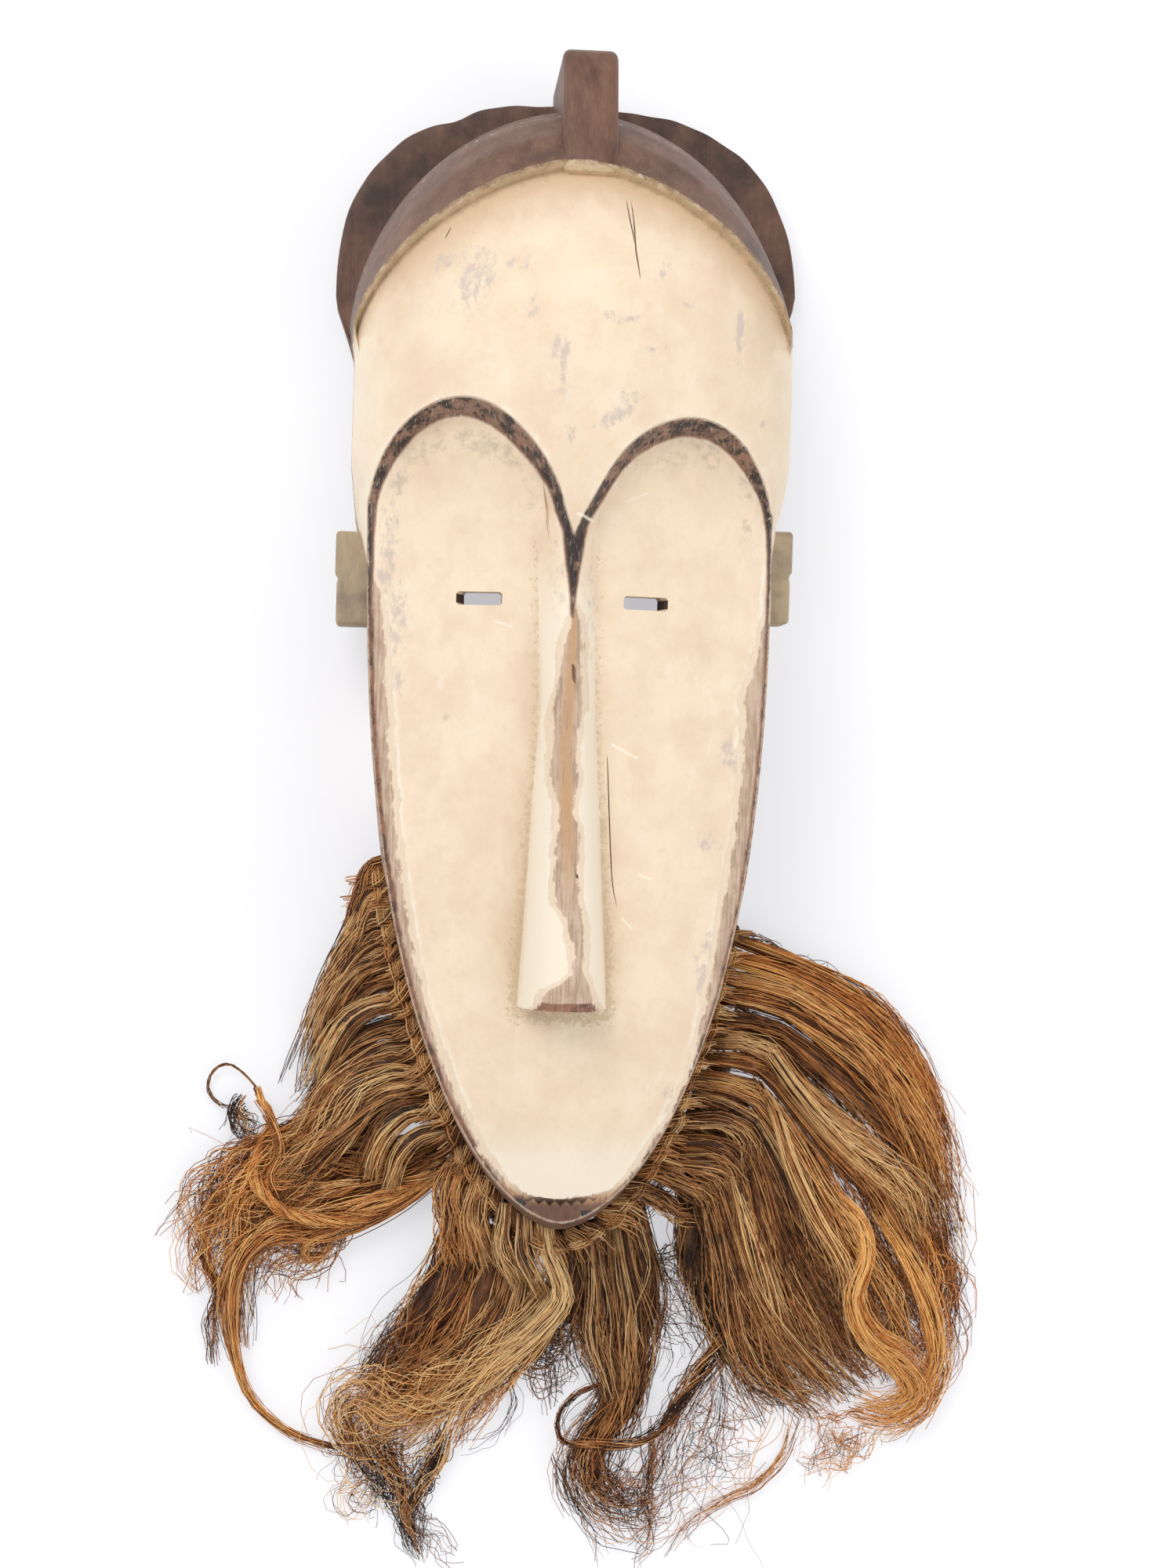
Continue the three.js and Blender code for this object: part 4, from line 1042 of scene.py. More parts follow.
def maskPaintLook():
    material, tree, shader = newMaterial("clayOverWood")
    place = facePlace(tree)
    streak = noise(tree, stretched(tree, place, (1, 0.06, 0.4)), 1.3, 4, 0.65)
    cloud = noise(tree, place, 30, 5, 0.6)
    mottle = noise(tree, place, 9, 6, 0.68)
    speck = noise(tree, place, 1.1, 4, 0.7)

    def between(value, low, high):
        return smoothStep(tree, value, low, high)

    def tint(colour, other, mask, strength):
        return blend(tree, calc(tree, "MULTIPLY", mask, strength), colour, other)

    def ragged(name, uneven, soft):
        return useGroup(tree, raggedMask, {"Vector": place, "Field": field(tree, name),
                                           "Ragged": uneven, "Soft": soft})

    def flaky(name, size, breakup, sharp=4.0, grain=place):
        return useGroup(tree, patchy, {"Vector": grain, "Value": field(tree, name), "Size": size,
                                       "Breakup": breakup, "Sharp": sharp})["Mask"]

    # Bare wood: polished brown, faded pinkish grey, amber and rust
    wood = useGroup(tree, woodGrain, {"Vector": place, "Light": woodLook["light"], "Dark": woodLook["dark"],
                                      "Stain": woodLook["stain"], "Stained": field(tree, "stain")})
    fadedTone = calc(tree, "ADD", streak, calc(tree, "MULTIPLY_ADD", mottle, 0.5, -0.25))
    faded = blend(tree, between(fadedTone, 0.36, 0.62), woodLook["fadedDark"], woodLook["faded"])
    colour = blend(tree, field(tree, "bleached"), wood["Color"], faded)
    amber = calc(tree, "MULTIPLY", field(tree, "amber"), between(streak, 0.25, 0.6))
    colour = blend(tree, amber, colour, woodLook["amber"])
    rustColour = blend(tree, between(mottle, 0.38, 0.66), woodLook["rust"], woodLook["rustDark"])
    rustColour = blend(tree, between(streak, 0.6, 0.72), rustColour, woodLook["faded"])
    colour = blend(tree, ragged("rust", 1.3, 0.8)["Mask"], colour, rustColour)

    # Clay: mottled, thin and grey in places, with grey dirt in patches, painted shade in the hollows and
    # painted light on the nose, chin and temples
    clay = ragged("clay", 2.6, 0.45)
    brushed = noise(tree, stretched(tree, place, (1, 0.45, 1)), 14, 6, 0.72)
    light = calc(tree, "ADD", field(tree, "light"), calc(tree, "MULTIPLY_ADD", brushed, 0.5, -0.25))
    coat = clayLook["cream"]
    # The light value lays pale clay as painted light and the shade colour as painted shade; the noise values
    # vary the clay at random
    for name, value, low, high, strength in [
            ("tan", cloud, 0.38, 0.68, 0.7), ("tan", brushed, 0.50, 0.72, 0.55),
            ("paleClay", brushed, 0.46, 0.30, 0.6), ("yellow", mottle, 0.52, 0.78, 0.4),
            ("paleClay", light, 0.55, 0.95, 0.85), ("shade", light, 0.46, 0.02, 0.9),
            ("tan", speck, 0.56, 0.8, 0.5), ("paleClay", speck, 0.42, 0.28, 0.4)]:
        coat = tint(coat, clayLook[name], between(value, low, high), strength)
    paleClay = calc(tree, "MULTIPLY", between(clay["Depth"], 3.6, 0.2), between(brushed, 0.40, 0.60))
    coat = blend(tree, paleClay, coat, clayLook["paleClay"])
    worn = flaky("worn", 3.6, 1.9, 1.7, stretched(tree, place, (1, 0.6, 1)))
    coat = tint(coat, clayLook["lavender"], worn, 0.72)
    coat = tint(coat, clayLook["grime"], flaky("grime", 5.0, 1.6, 1.6), 0.55)

    # Thin clay left in flakes on the worn strips
    thin = noise(tree, stretched(tree, place, (1, 0.4, 1)), 4.2, 6, 0.72)
    thin = calc(tree, "ADD", thin, between(calc(tree, "MULTIPLY", clay["Depth"], 0.012), -0.11, 0.0))
    thin = calc(tree, "MULTIPLY", between(thin, 1.12, 1.32), field(tree, "bleached"))
    colour = tint(colour, clayLook["cream"], thin, 0.8)
    colour = blend(tree, clay["Mask"], colour, coat)

    # Soot on the brow walls, with pale tool strokes; the same dark colour is painted shade in the cracks and
    # slit walls
    sootAndShade = ragged("sootAndShade", 0.55, 0.7)
    strokes = noise(tree, stretched(tree, place, (1, 0.12, 0.2)), 1.0, 3, 0.6)
    upwards = between(addNode(tree, "SeparateXYZ", {0: place}).outputs["Y"], 178, 120)
    burnt = calc(tree, "MULTIPLY_ADD", streak, 0.3, calc(tree, "SUBTRACT", mottle, 0.15))
    burnt = calc(tree, "MULTIPLY_ADD", upwards, 0.13, burnt)
    sootAndShadeColour = blend(tree, between(burnt, 0.42, 0.60), woodLook["sootAndShadeBrown"], woodLook["sootAndShade"])
    sootAndShadeColour = tint(sootAndShadeColour, woodLook["rust"], between(sootAndShade["Depth"], 2.2, 0.4), 0.6)
    sootAndShadeColour = tint(sootAndShadeColour, woodLook["hatch"], between(strokes, 0.58, 0.70), 0.6)
    colour = blend(tree, sootAndShade["Mask"], colour, sootAndShadeColour)

    # Pale edges, partly worn and partly painted highlight, sandy dirt and scratches
    colour = tint(colour, woodLook["paleEdge"], flaky("pale", 4.0, 0.9), 0.55)
    sand = blend(tree, between(speck, 0.48, 0.76), clayLook["sand"], clayLook["sandDark"])
    sand = blend(tree, between(mottle, 0.50, 0.62), sand, clayLook["shade"])
    colour = tint(colour, sand, flaky("step", 5.0, 0.8, 1.8), 0.85)
    flecks = between(noise(tree, place, 0.9, 3, 0.6), 0.58, 0.68)
    feetColour = blend(tree, flecks, clayLook["sand"], clayLook["sandDark"])
    colour = tint(colour, feetColour, flaky("feet", 2.6, 1.1), 0.62)
    marks = 0.0
    for start, end, width in scratches:
        mark = useGroup(tree, lineMark, {"Vector": place, "Start": start, "End": end, "Width": width})
        marks = calc(tree, "MAXIMUM", marks, mark["Mask"])
    colour = tint(colour, clayLook["scratch"], marks, 0.8)
    tree.links.new(colour, shader.inputs["Base Color"])

    shader.inputs["Specular IOR Level"].default_value = 0.3
    shiny = calc(tree, "MULTIPLY_ADD", clay["Mask"], 0.33, 0.47)
    shiny = calc(tree, "ADD", shiny, calc(tree, "MULTIPLY_ADD", mottle, 0.2, -0.1))
    tree.links.new(shiny, shader.inputs["Roughness"])
    grain = calc(tree, "MULTIPLY", wood["Height"], calc(tree, "MULTIPLY_ADD", clay["Mask"], -0.75, 1.0))
    height = calc(tree, "MULTIPLY_ADD", grain, 0.3, calc(tree, "MULTIPLY", clay["Mask"], 0.4))
    height = calc(tree, "MULTIPLY_ADD", speck, 0.12, height)
    height = calc(tree, "MULTIPLY_ADD", mottle, 0.3, height)
    height = calc(tree, "MULTIPLY_ADD", marks, -0.3, height)
    bump = addNode(tree, "Bump", {"Height": height, "Strength": 0.45, "Distance": 0.001})
    tree.links.new(bump.outputs[0], shader.inputs["Normal"])
    return material


def woodLookOf(name, light, dark, stain, stained, roughness, bumpStrength):
    material, tree, shader = newMaterial(name)
    place = facePlace(tree)
    wood = useGroup(tree, woodGrain, {"Vector": place, "Light": light, "Dark": dark, "Stain": stain,
                                      "Stained": stained})
    tree.links.new(wood["Color"], shader.inputs["Base Color"])
    shader.inputs["Roughness"].default_value = roughness
    chips = noise(tree, place, 13, 2, 0.4)
    height = calc(tree, "MULTIPLY_ADD", wood["Height"], 0.4, chips)
    bump = addNode(tree, "Bump", {"Height": height, "Strength": bumpStrength, "Distance": 0.002})
    tree.links.new(bump.outputs[0], shader.inputs["Normal"])
    return material


mask.data.materials.clear()
mask.data.materials.append(maskPaintLook())
mask.data.materials.append(woodLookOf("hollowWood", (0.36, 0.225, 0.13), (0.19, 0.11, 0.065),
                                      (0.09, 0.06, 0.045), 0.5, 0.8, 0.6))
# Near-black outer end walls of the eye slits: painted shade
mask.data.materials.append(woodLookOf("slitEndShade", (0.09, 0.055, 0.04), (0.03, 0.02, 0.017),
                                      (0.015, 0.011, 0.01), 0.5, 0.8, 0.3))
mask.data.materials.append(woodLookOf("earWood", (0.53, 0.42, 0.285), (0.36, 0.275, 0.18),
                                      (0.10, 0.09, 0.085), 0.5, 0.75, 0.4))
mask.data.polygons.foreach_set("material_index", maskKinds.astype(np.int32))
mask.data.update()
print("mask painted")


# The beard: fibres are thin closed tubes, grown in clumps along the locks

beard = {
    "seed": 7, "fibreRadius": 0.36, "density": 0.8, "detail": 0.86, "steps": 12, "clumpSize": 9,
    "cordHeight": 15.0, "chinHeight": 26.0, "cordDistance": 1.5, "chinDistance": -2.5,
    "cordStart": (-100.0, -50.0), "cordEnd": (103.0, -80.0), "cordHalfWidth": 4.2, "cordHalfHeight": 5.0,
    "knotPitch": 10.5, "strandRadius": 0.46, "legRadius": 4.4, "legFibres": 30, "legFray": 0.55,
    "bandRadius": 2.7, "bandFibres": 16, "strandTwist": 0.3,
    "coreEnd": 0.72, "coreSize": 0.74, "coreShadeTone": 0.12, "cordTone": 0.1, "lowest": 0.8,
    "curl": 0.42, "wildCurl": 0.4, "toneSpread": 0.17, "paintedTopLight": 0.2, "warmSpread": 0.16,
    "rootReach": 7.0, "left": -221.0, "right": 244.0, "foot": -438.0
}
random = np.random.default_rng(beard["seed"])
rimAngles = np.linspace(0, turn, 1441)
rimRadii = radiusAt(rimOutline, rimAngles)


def rimRadius(angle):
    return np.interp(angle % turn, rimAngles, rimRadii)


def outsideRim(angle, distance, height):
    radius = rimRadius(angle)
    slope = (rimRadius(angle + 0.02) - rimRadius(angle - 0.02)) / (0.04 * radius)
    out = radius + distance * np.hypot(1, slope)
    return np.stack([out * np.cos(angle), out * np.sin(angle), height + 0 * out], axis=-1)


def cordAngle(share):
    start = math.atan2(beard["cordStart"][1], beard["cordStart"][0]) % turn
    end = math.atan2(beard["cordEnd"][1], beard["cordEnd"][0]) % turn
    return lerp(start, end, share)


def tubeMesh(lines, radii, tone, warm, sides=3):
    # lines: fibres x steps x 3. Gives points, faces and the two colour values of every point.
    count, steps, _ = lines.shape
    along = np.gradient(lines, axis=1)
    along /= np.maximum(np.linalg.norm(along, axis=2, keepdims=True), 1e-6)
    up = np.array([0.05, 0.03, 1.0])
    across = np.cross(along, up)
    across /= np.maximum(np.linalg.norm(across, axis=2, keepdims=True), 1e-6)
    over = np.cross(across, along)
    angle = turn * np.arange(sides) / sides + math.pi / 2
    ring = across[:, :, None, :] * np.cos(angle)[None, None, :, None]
    ring = ring + over[:, :, None, :] * np.sin(angle)[None, None, :, None]
    points = lines[:, :, None, :] + ring * radii[:, :, None, None]
    base = (np.arange(count) * steps * sides)[:, None, None]
    step = (np.arange(steps - 1) * sides)[None, :, None]
    side = np.arange(sides)[None, None, :]
    following = (side + 1) % sides
    quads = np.stack([base + step + side, base + step + sides + side, base + step + sides + following,
                      base + step + following], axis=-1)
    firstCap = (np.arange(count) * steps * sides)[:, None] + np.arange(sides)[None, :]
    lastCap = firstCap + (steps - 1) * sides
    values = [np.repeat(np.broadcast_to(v, (count, steps)).ravel(), sides) for v in (tone, warm)]
    return (points.reshape(-1, 3), quads.reshape(-1, 4), np.vstack([firstCap, lastCap[:, ::-1]]), values)


def loftMesh(rings, tone, warm):
    # Closed body through rings of points, each ring the same length.
    count, sides, _ = rings.shape
    base = (np.arange(count - 1) * sides)[:, None]
    side = np.arange(sides)[None, :]
    following = (side + 1) % sides
    quads = np.stack([base + side, base + following, base + sides + following, base + sides + side], axis=-1)
    points = np.vstack([rings.reshape(-1, 3), rings[:1].mean(axis=1), rings[-1:].mean(axis=1)])
    j = np.arange(sides)
    first, last = count * sides, count * sides + 1
    tail = (count - 1) * sides
    caps = np.vstack([np.column_stack([(j + 1) % sides, j, np.full(sides, first)]),
                      np.column_stack([tail + j, tail + (j + 1) % sides, np.full(sides, last)])])
    values = [np.full(len(points), v) for v in (tone, warm)]
    return points, quads.reshape(-1, 4), caps, values


def meshPiece(name, parts):
    # Joins point and face arrays into one object with its colour values.
    offset = 0
    allPoints, loops, totals, tones, warms = [], [], [], [], []
    for points, quads, caps, values in parts:
        allPoints.append(points)
        loops += [(quads + offset).ravel(), (caps + offset).ravel()]
        totals += [np.full(len(quads), 4), np.full(len(caps), 3)]
        tones.append(values[0])
        warms.append(values[1])
        offset += len(points)
    points = toFrame(np.vstack(allPoints))
    loops = np.concatenate(loops).astype(np.int32)
    totals = np.concatenate(totals).astype(np.int32)
    data = bpy.data.meshes.new(name)
    data.vertices.add(len(points))
    data.vertices.foreach_set("co", points.ravel())
    data.loops.add(len(loops))
    data.loops.foreach_set("vertex_index", loops)
    data.polygons.add(len(totals))
    data.polygons.foreach_set("loop_start", np.concatenate([[0], np.cumsum(totals)[:-1]]).astype(np.int32))
    data.polygons.foreach_set("use_smooth", np.ones(len(totals), bool))
    data.update(calc_edges=True)
    data.validate()
    obj = bpy.data.objects.new(name, data)
    bpy.context.scene.collection.objects.link(obj)
    setAttribute(obj, "tone", np.concatenate(tones))
    setAttribute(obj, "warm", np.concatenate(warms))
    return obj


# Every lock: its line over the table, its widths and heights spaced evenly from root to tip, and
# its fibres. Tone goes from dark to light, warm from golden to orange.

locks = {
    "raffia_left_upper": [
        {"line": [(-94, -56), (-99, -72), (-107, -100), (-117, -130), (-125, -158), (-131, -178)],
         "width": (14, 34, 28), "high": (5, 6, 5), "fibres": 110, "tone": 0.26, "warm": 0.3},
        {"line": [(-94, -66), (-89, -95), (-82, -123), (-73, -150), (-64, -172), (-54, -192)],
         "width": (14, 18, 18), "high": (7, 7, 7), "fibres": 50, "tone": 0.2, "warm": 0.2},
        {"line": [(-95, -47), (-101, -50), (-104, -60), (-105, -74), (-109, -92)],
         "width": (9, 14, 14), "high": (18, 20, 12), "fibres": 64, "tone": 0.5, "warm": 0.5, "frizz": 1.0,
         "fray": 0.35},
        {"line": [(-94, -60), (-103, -62), (-108, -73), (-110, -88), (-115, -104)],
         "width": (9, 12, 12), "high": (20, 23, 12), "fibres": 60, "tone": 0.42, "warm": 0.4, "frizz": 0.9},
        {"line": [(-92, -69), (-102, -71), (-109, -82), (-113, -97), (-120, -115)],
         "width": (9, 12, 12), "high": (20, 23, 12), "fibres": 64, "tone": 0.52, "warm": 0.35, "frizz": 0.9},
        {"line": [(-91, -79), (-101, -80), (-111, -92), (-118, -108), (-126, -128)],
         "width": (9, 13, 13), "high": (20, 23, 12), "fibres": 70, "tone": 0.42, "warm": 0.3, "frizz": 0.8},
        {"line": [(-89, -88), (-100, -90), (-112, -101), (-122, -119), (-130, -142)],
         "width": (9, 14, 13), "high": (20, 24, 12), "fibres": 80, "tone": 0.54, "warm": 0.25, "frizz": 0.8},
        {"line": [(-86, -98), (-101, -101), (-114, -111), (-125, -130), (-131, -154)],
         "width": (9, 13, 13), "high": (20, 24, 12), "fibres": 80, "tone": 0.6, "warm": 0.2, "frizz": 0.5},
        {"line": [(-84, -110), (-98, -113), (-113, -125), (-124, -144), (-131, -166)],
         "width": (9, 13, 13), "high": (16, 19, 11), "fibres": 80, "tone": 0.36, "warm": 0.25, "frizz": 0.5},
        {"line": [(-82, -123), (-96, -125), (-111, -134), (-122, -153), (-129, -175)],
         "width": (9, 14, 14), "high": (19, 24, 12), "fibres": 90, "tone": 0.64, "warm": 0.2, "frizz": 0.5},
        {"line": [(-79, -135), (-94, -138), (-108, -147), (-120, -165), (-133, -184)],
         "width": (9, 14, 14), "high": (15, 18, 11), "fibres": 90, "tone": 0.34, "warm": 0.3, "frizz": 0.6},
        {"line": [(-77, -146), (-91, -148), (-106, -157), (-118, -173), (-131, -190), (-141, -203)],
         "width": (9, 15, 17), "high": (18, 23, 11), "fibres": 100, "tone": 0.54, "warm": 0.25, "frizz": 0.7},
        {"line": [(-72, -159), (-87, -157), (-103, -165), (-118, -182), (-133, -199), (-148, -212)],
         "width": (10, 18, 24, 24), "high": (19, 26, 12), "fibres": 150, "tone": 0.64, "warm": 0.25,
         "frizz": 1.5}
    ],
    "raffia_left_middle": [
        {"line": [(-58, -200), (-80, -212), (-110, -218), (-142, -226), (-166, -240), (-182, -256)],
         "width": (16, 40, 36), "high": (6, 9, 5), "fibres": 240, "tone": 0.38, "warm": 0.6, "frizz": 1.8,
         "fray": 0.35},
        {"line": [(-68, -166), (-88, -177), (-106, -191), (-126, -207), (-146, -221)],
         "width": (20, 38, 36), "high": (6, 9, 6), "fibres": 100, "tone": 0.28, "warm": 0.35, "frizz": 1.4},
        {"line": [(-68, -171), (-82, -171), (-98, -180), (-113, -195), (-132, -211), (-154, -225),
                  (-172, -241)],
         "width": (10, 18, 28), "high": (19, 24, 10), "fibres": 160, "tone": 0.54, "warm": 0.35, "frizz": 2.2,
         "fray": 0.35},
        {"line": [(-100, -222), (-118, -226), (-138, -233), (-156, -243)],
         "width": (6, 12, 8), "high": (20, 20, 12), "fibres": 50, "tone": 0.74, "warm": 0.6, "frizz": 1.8,
         "fray": 0.5, "core": False, "open": 0.4},
        {"line": [(-64, -182), (-77, -183), (-89, -193), (-95, -209), (-98, -221)],
         "width": (10, 15, 13), "high": (20, 27, 18), "fibres": 90, "tone": 0.66, "warm": 0.2, "frizz": 0.4,
         "fray": 0.15},
        {"line": [(-59, -193), (-70, -196), (-80, -206), (-84, -219), (-86, -228)],
         "width": (10, 13, 11), "high": (20, 26, 18), "fibres": 74, "tone": 0.7, "warm": 0.15, "frizz": 0.4,
         "fray": 0.15},
        {"line": [(-120, -186), (-136, -196), (-154, -209), (-172, -224), (-187, -242), (-192, -262)],
         "width": (16, 28, 28), "high": (13, 15, 5), "fibres": 200, "tone": 0.5, "warm": 0.75, "frizz": 2.8,
         "fray": 0.55, "steps": 20, "core": False, "open": 0.25},
        {"line": [(-114, -214), (-138, -221), (-160, -232), (-175, -248), (-183, -268), (-182, -287)],
         "width": (14, 26, 24), "high": (13, 13, 4), "fibres": 150, "tone": 0.56, "warm": 0.75, "frizz": 2.6,
         "fray": 0.5, "steps": 20, "core": False, "open": 0.25},
        {"line": [(-160, -171), (-158, -178), (-151, -190), (-158, -204), (-161, -216), (-155, -230),
                  (-135, -241), (-110, -243), (-87, -235), (-65, -219)],
         "width": (4, 6, 8, 7, 5), "high": (10, 27, 16), "fibres": 54, "tone": 0.68, "warm": 0.75,
         "frizz": 0.9, "fray": 0.1, "twist": 3.5, "steps": 24, "core": False, "open": 0.05},
        {"line": [(-161, -178), (-150, -192), (-146, -206), (-152, -220), (-146, -232)],
         "width": (5, 6, 5), "high": (12, 25, 22), "fibres": 26, "tone": 0.56, "warm": 0.8, "frizz": 0.8,
         "fray": 0.3, "core": False, "open": 0.2},
        {"line": [(-160, -173), (-168, -165), (-177, -160), (-185, -165), (-187, -175), (-180, -183),
                  (-170, -185)],
         "width": (1.4, 1.5, 3), "high": (9, 4, 3), "fibres": 14, "tone": 0.06, "warm": 0.2, "frizz": 0.3,
         "fray": 0.25, "core": False, "thick": 0.9},
        {"line": [(-166, -177), (-171, -186), (-167, -196), (-158, -204)],
         "width": (7, 12, 10), "high": (6, 7, 5), "fibres": 44, "tone": 0.12, "warm": 0.35, "frizz": 3.0,
         "fray": 0.6, "core": False, "open": 0.4}
    ],
    "raffia_left_tail": [
        {"line": [(-52, -210), (-84, -232), (-118, -244), (-148, -248), (-166, -264), (-172, -290),
                  (-168, -320), (-157, -346), (-135, -364), (-109, -372)],
         "width": (12, 18, 24, 18, 12, 5, 3, 5), "high": (12, 14, 3), "fibres": 180, "tone": 0.52,
         "warm": 0.6, "frizz": 1.3, "fray": 0.7, "steps": 24, "core": False, "open": 0.08},
        {"line": [(-60, -213), (-101, -237), (-136, -244), (-158, -256), (-166, -280), (-166, -300),
                  (-164, -318)],
         "width": (12, 20, 24, 20, 8), "high": (10, 9, 4), "fibres": 120, "tone": 0.42, "warm": 0.65,
         "frizz": 1.6, "fray": 0.5, "steps": 20, "core": False, "open": 0.1},
        {"line": [(-53, -209), (-71, -221), (-93, -231), (-114, -246), (-131, -259), (-130, -266),
                  (-121, -263), (-116, -252)],
         "width": (8, 8, 5), "high": (14, 18, 12), "fibres": 56, "tone": 0.64, "warm": 0.7, "frizz": 0.4,
         "fray": 0.15, "twist": 2.0, "steps": 20, "core": False, "open": 0.1},
        {"line": [(-97, -235), (-118, -246), (-133, -259), (-150, -269), (-159, -281)],
         "width": (14, 24, 24), "high": (8, 8, 4), "fibres": 110, "tone": 0.34, "warm": 0.55, "frizz": 3.0,
         "fray": 0.6, "steps": 16, "core": False, "open": 0.3},
        {"line": [(-190, -250), (-184, -272), (-178, -284), (-180, -303), (-179, -328)],
         "width": (12, 6, 6, 4), "high": (4, 3, 2), "fibres": 50, "tone": 0.3, "warm": 0.6, "frizz": 2.0,
         "fray": 0.6, "steps": 18, "core": False, "open": 0.4, "thick": 0.9}
    ],
    "raffia_chin_left": [
        {"line": [(-42, -244), (-52, -279), (-69, -305), (-82, -325), (-90, -342)],
         "width": (22, 36, 30), "high": (12, 14, 8), "fibres": 230, "tone": 0.22, "warm": 0.5, "frizz": 1.4},
        {"line": [(-27, -253), (-39, -287), (-56, -312), (-72, -331), (-83, -347)],
         "width": (20, 30, 30), "high": (12, 13, 8), "fibres": 190, "tone": 0.28, "warm": 0.5, "frizz": 1.4},
        {"line": [(-46, -212), (-50, -227), (-48, -244), (-42, -266)],
         "width": (16, 26, 28), "high": (24, 26, 17), "fibres": 190, "tone": 0.62, "warm": 0.5, "frizz": 1.0,
         "fray": 0.2},
        {"line": [(-36, -222), (-38, -236), (-34, -253), (-26, -268)],
         "width": (9, 14, 14), "high": (32, 33, 20), "fibres": 90, "tone": 0.66, "warm": 0.25, "frizz": 0.8,
         "fray": 0.25},
        {"line": [(-30, -312), (-55, -333), (-81, -343), (-99, -345), (-103, -357), (-90, -368), (-70, -367)],
         "width": (20, 34, 24), "high": (12, 11, 5), "fibres": 150, "tone": 0.66, "warm": 0.5, "frizz": 3.6,
         "fray": 0.5, "steps": 24, "core": False, "open": 0.3},
        {"line": [(-104, -340), (-107, -358), (-102, -376), (-90, -390), (-79, -404)],
         "width": (16, 18, 10), "high": (5, 4, 2), "fibres": 60, "tone": 0.14, "warm": 0.45, "frizz": 4.4,
         "fray": 0.6, "steps": 20, "core": False, "open": 0.4, "thick": 0.85},
        {"line": [(-90, -355), (-86, -372), (-77, -389), (-71, -407), (-68, -420), (-62, -434)],
         "width": (26, 15, 4), "high": (6, 4, 1.5), "fibres": 90, "tone": 0.1, "warm": 0.35, "frizz": 3.0,
         "fray": 0.6, "steps": 20, "core": False, "open": 0.3, "thick": 0.85},
        {"line": [(-74, -392), (-70, -410), (-54, -420), (-50, -432), (-38, -437)],
         "width": (6, 8, 8), "high": (2, 2, 1.5), "fibres": 16, "tone": 0.16, "warm": 0.6, "frizz": 4.0,
         "fray": 0.5, "steps": 20, "core": False, "open": 0.4, "thick": 0.7},
        {"line": [(-88, -388), (-105, -398), (-96, -404), (-80, -398)],
         "width": (6, 12, 8), "high": (2, 2, 1.5), "fibres": 12, "tone": 0.2, "warm": 0.7, "frizz": 4.0,
         "fray": 0.5, "steps": 16, "core": False, "open": 0.4, "thick": 0.7}
    ],
    "raffia_chin_right": [
        {"line": [(-14, -261), (-19, -289), (-38, -316), (-58, -335), (-75, -350)],
         "width": (20, 28, 30), "high": (12, 14, 8), "fibres": 190, "tone": 0.42, "warm": 0.35, "frizz": 0.8},
        {"line": [(8, -272), (-9, -297), (-33, -320), (-55, -340), (-68, -360), (-80, -370)],
         "width": (10, 26, 28), "high": (16, 18, 5), "fibres": 170, "tone": 0.7, "warm": 0.3, "frizz": 1.5,
         "fray": 0.4, "steps": 18, "core": False, "open": 0.2},
        {"line": [(12, -280), (1, -304), (-19, -326), (-36, -347), (-50, -366)],
         "width": (6, 15, 22), "high": (14, 14, 5), "fibres": 110, "tone": 0.56, "warm": 0.5, "frizz": 1.4,
         "fray": 0.4, "core": False, "open": 0.1},
        {"line": [(-46, -216), (-32, -230), (-14, -242), (6, -248), (26, -247), (43, -239), (58, -226),
                  (72, -210)],
         "width": (16, 20, 18), "high": (12, 14, 12), "fibres": 40, "tone": 0.2, "warm": 0.25},
        {"line": [(-22, -237), (-23, -250), (-18, -264), (-10, -276)],
         "width": (9, 12, 12), "high": (34, 34, 22), "fibres": 84, "tone": 0.72, "warm": 0.15, "frizz": 0.7,
         "fray": 0.25},
        {"line": [(-12, -242), (-11, -257), (-5, -271), (4, -283)],
         "width": (9, 12, 12), "high": (34, 34, 22), "fibres": 84, "tone": 0.66, "warm": 0.2, "frizz": 0.7,
         "fray": 0.25},
        {"line": [(0, -245), (2, -256), (8, -268), (11, -282), (-2, -300), (-21, -317), (-46, -334),
                  (-72, -344), (-97, -347)],
         "width": (8, 10, 12, 24, 28), "high": (34, 32, 18, 9), "fibres": 180, "tone": 0.78, "warm": 0.2,
         "frizz": 1.4, "fray": 0.4, "steps": 22},
        {"line": [(-50, -355), (-54, -373), (-63, -391), (-70, -407), (-69, -424)],
         "width": (15, 10, 5), "high": (5, 4, 1.5), "fibres": 60, "tone": 0.1, "warm": 0.3, "frizz": 2.6,
         "fray": 0.6, "steps": 18, "core": False, "open": 0.3},
        {"line": [(-10, -300), (-16, -325), (-12, -347), (-24, -367), (-45, -373)],
         "width": (6, 6, 6), "high": (3, 2, 2), "fibres": 8, "tone": 0.1, "warm": 0.3, "frizz": 1.6,
         "fray": 0.5, "steps": 20, "core": False, "open": 0.4, "thick": 0.7}
    ],
    "raffia_centre_left": [
        {"line": [(15, -248), (15, -274), (12, -300), (7, -321)],
         "width": (14, 30, 36), "high": (10, 12, 4), "fibres": 190, "tone": 0.34, "warm": 0.15, "frizz": 1.3,
         "fray": 0.45},
        {"line": [(26, -250), (29, -278), (31, -304), (39, -327), (43, -348)],
         "width": (14, 26, 14), "high": (10, 13, 8), "fibres": 170, "tone": 0.36, "warm": 0.15, "frizz": 0.9},
        {"line": [(5, -285), (-2, -303), (4, -320), (20, -331)],
         "width": (22, 28, 26), "high": (6, 5, 3), "fibres": 90, "tone": 0.14, "warm": 0.2, "frizz": 3.6,
         "fray": 0.5, "steps": 16, "core": False, "open": 0.3},
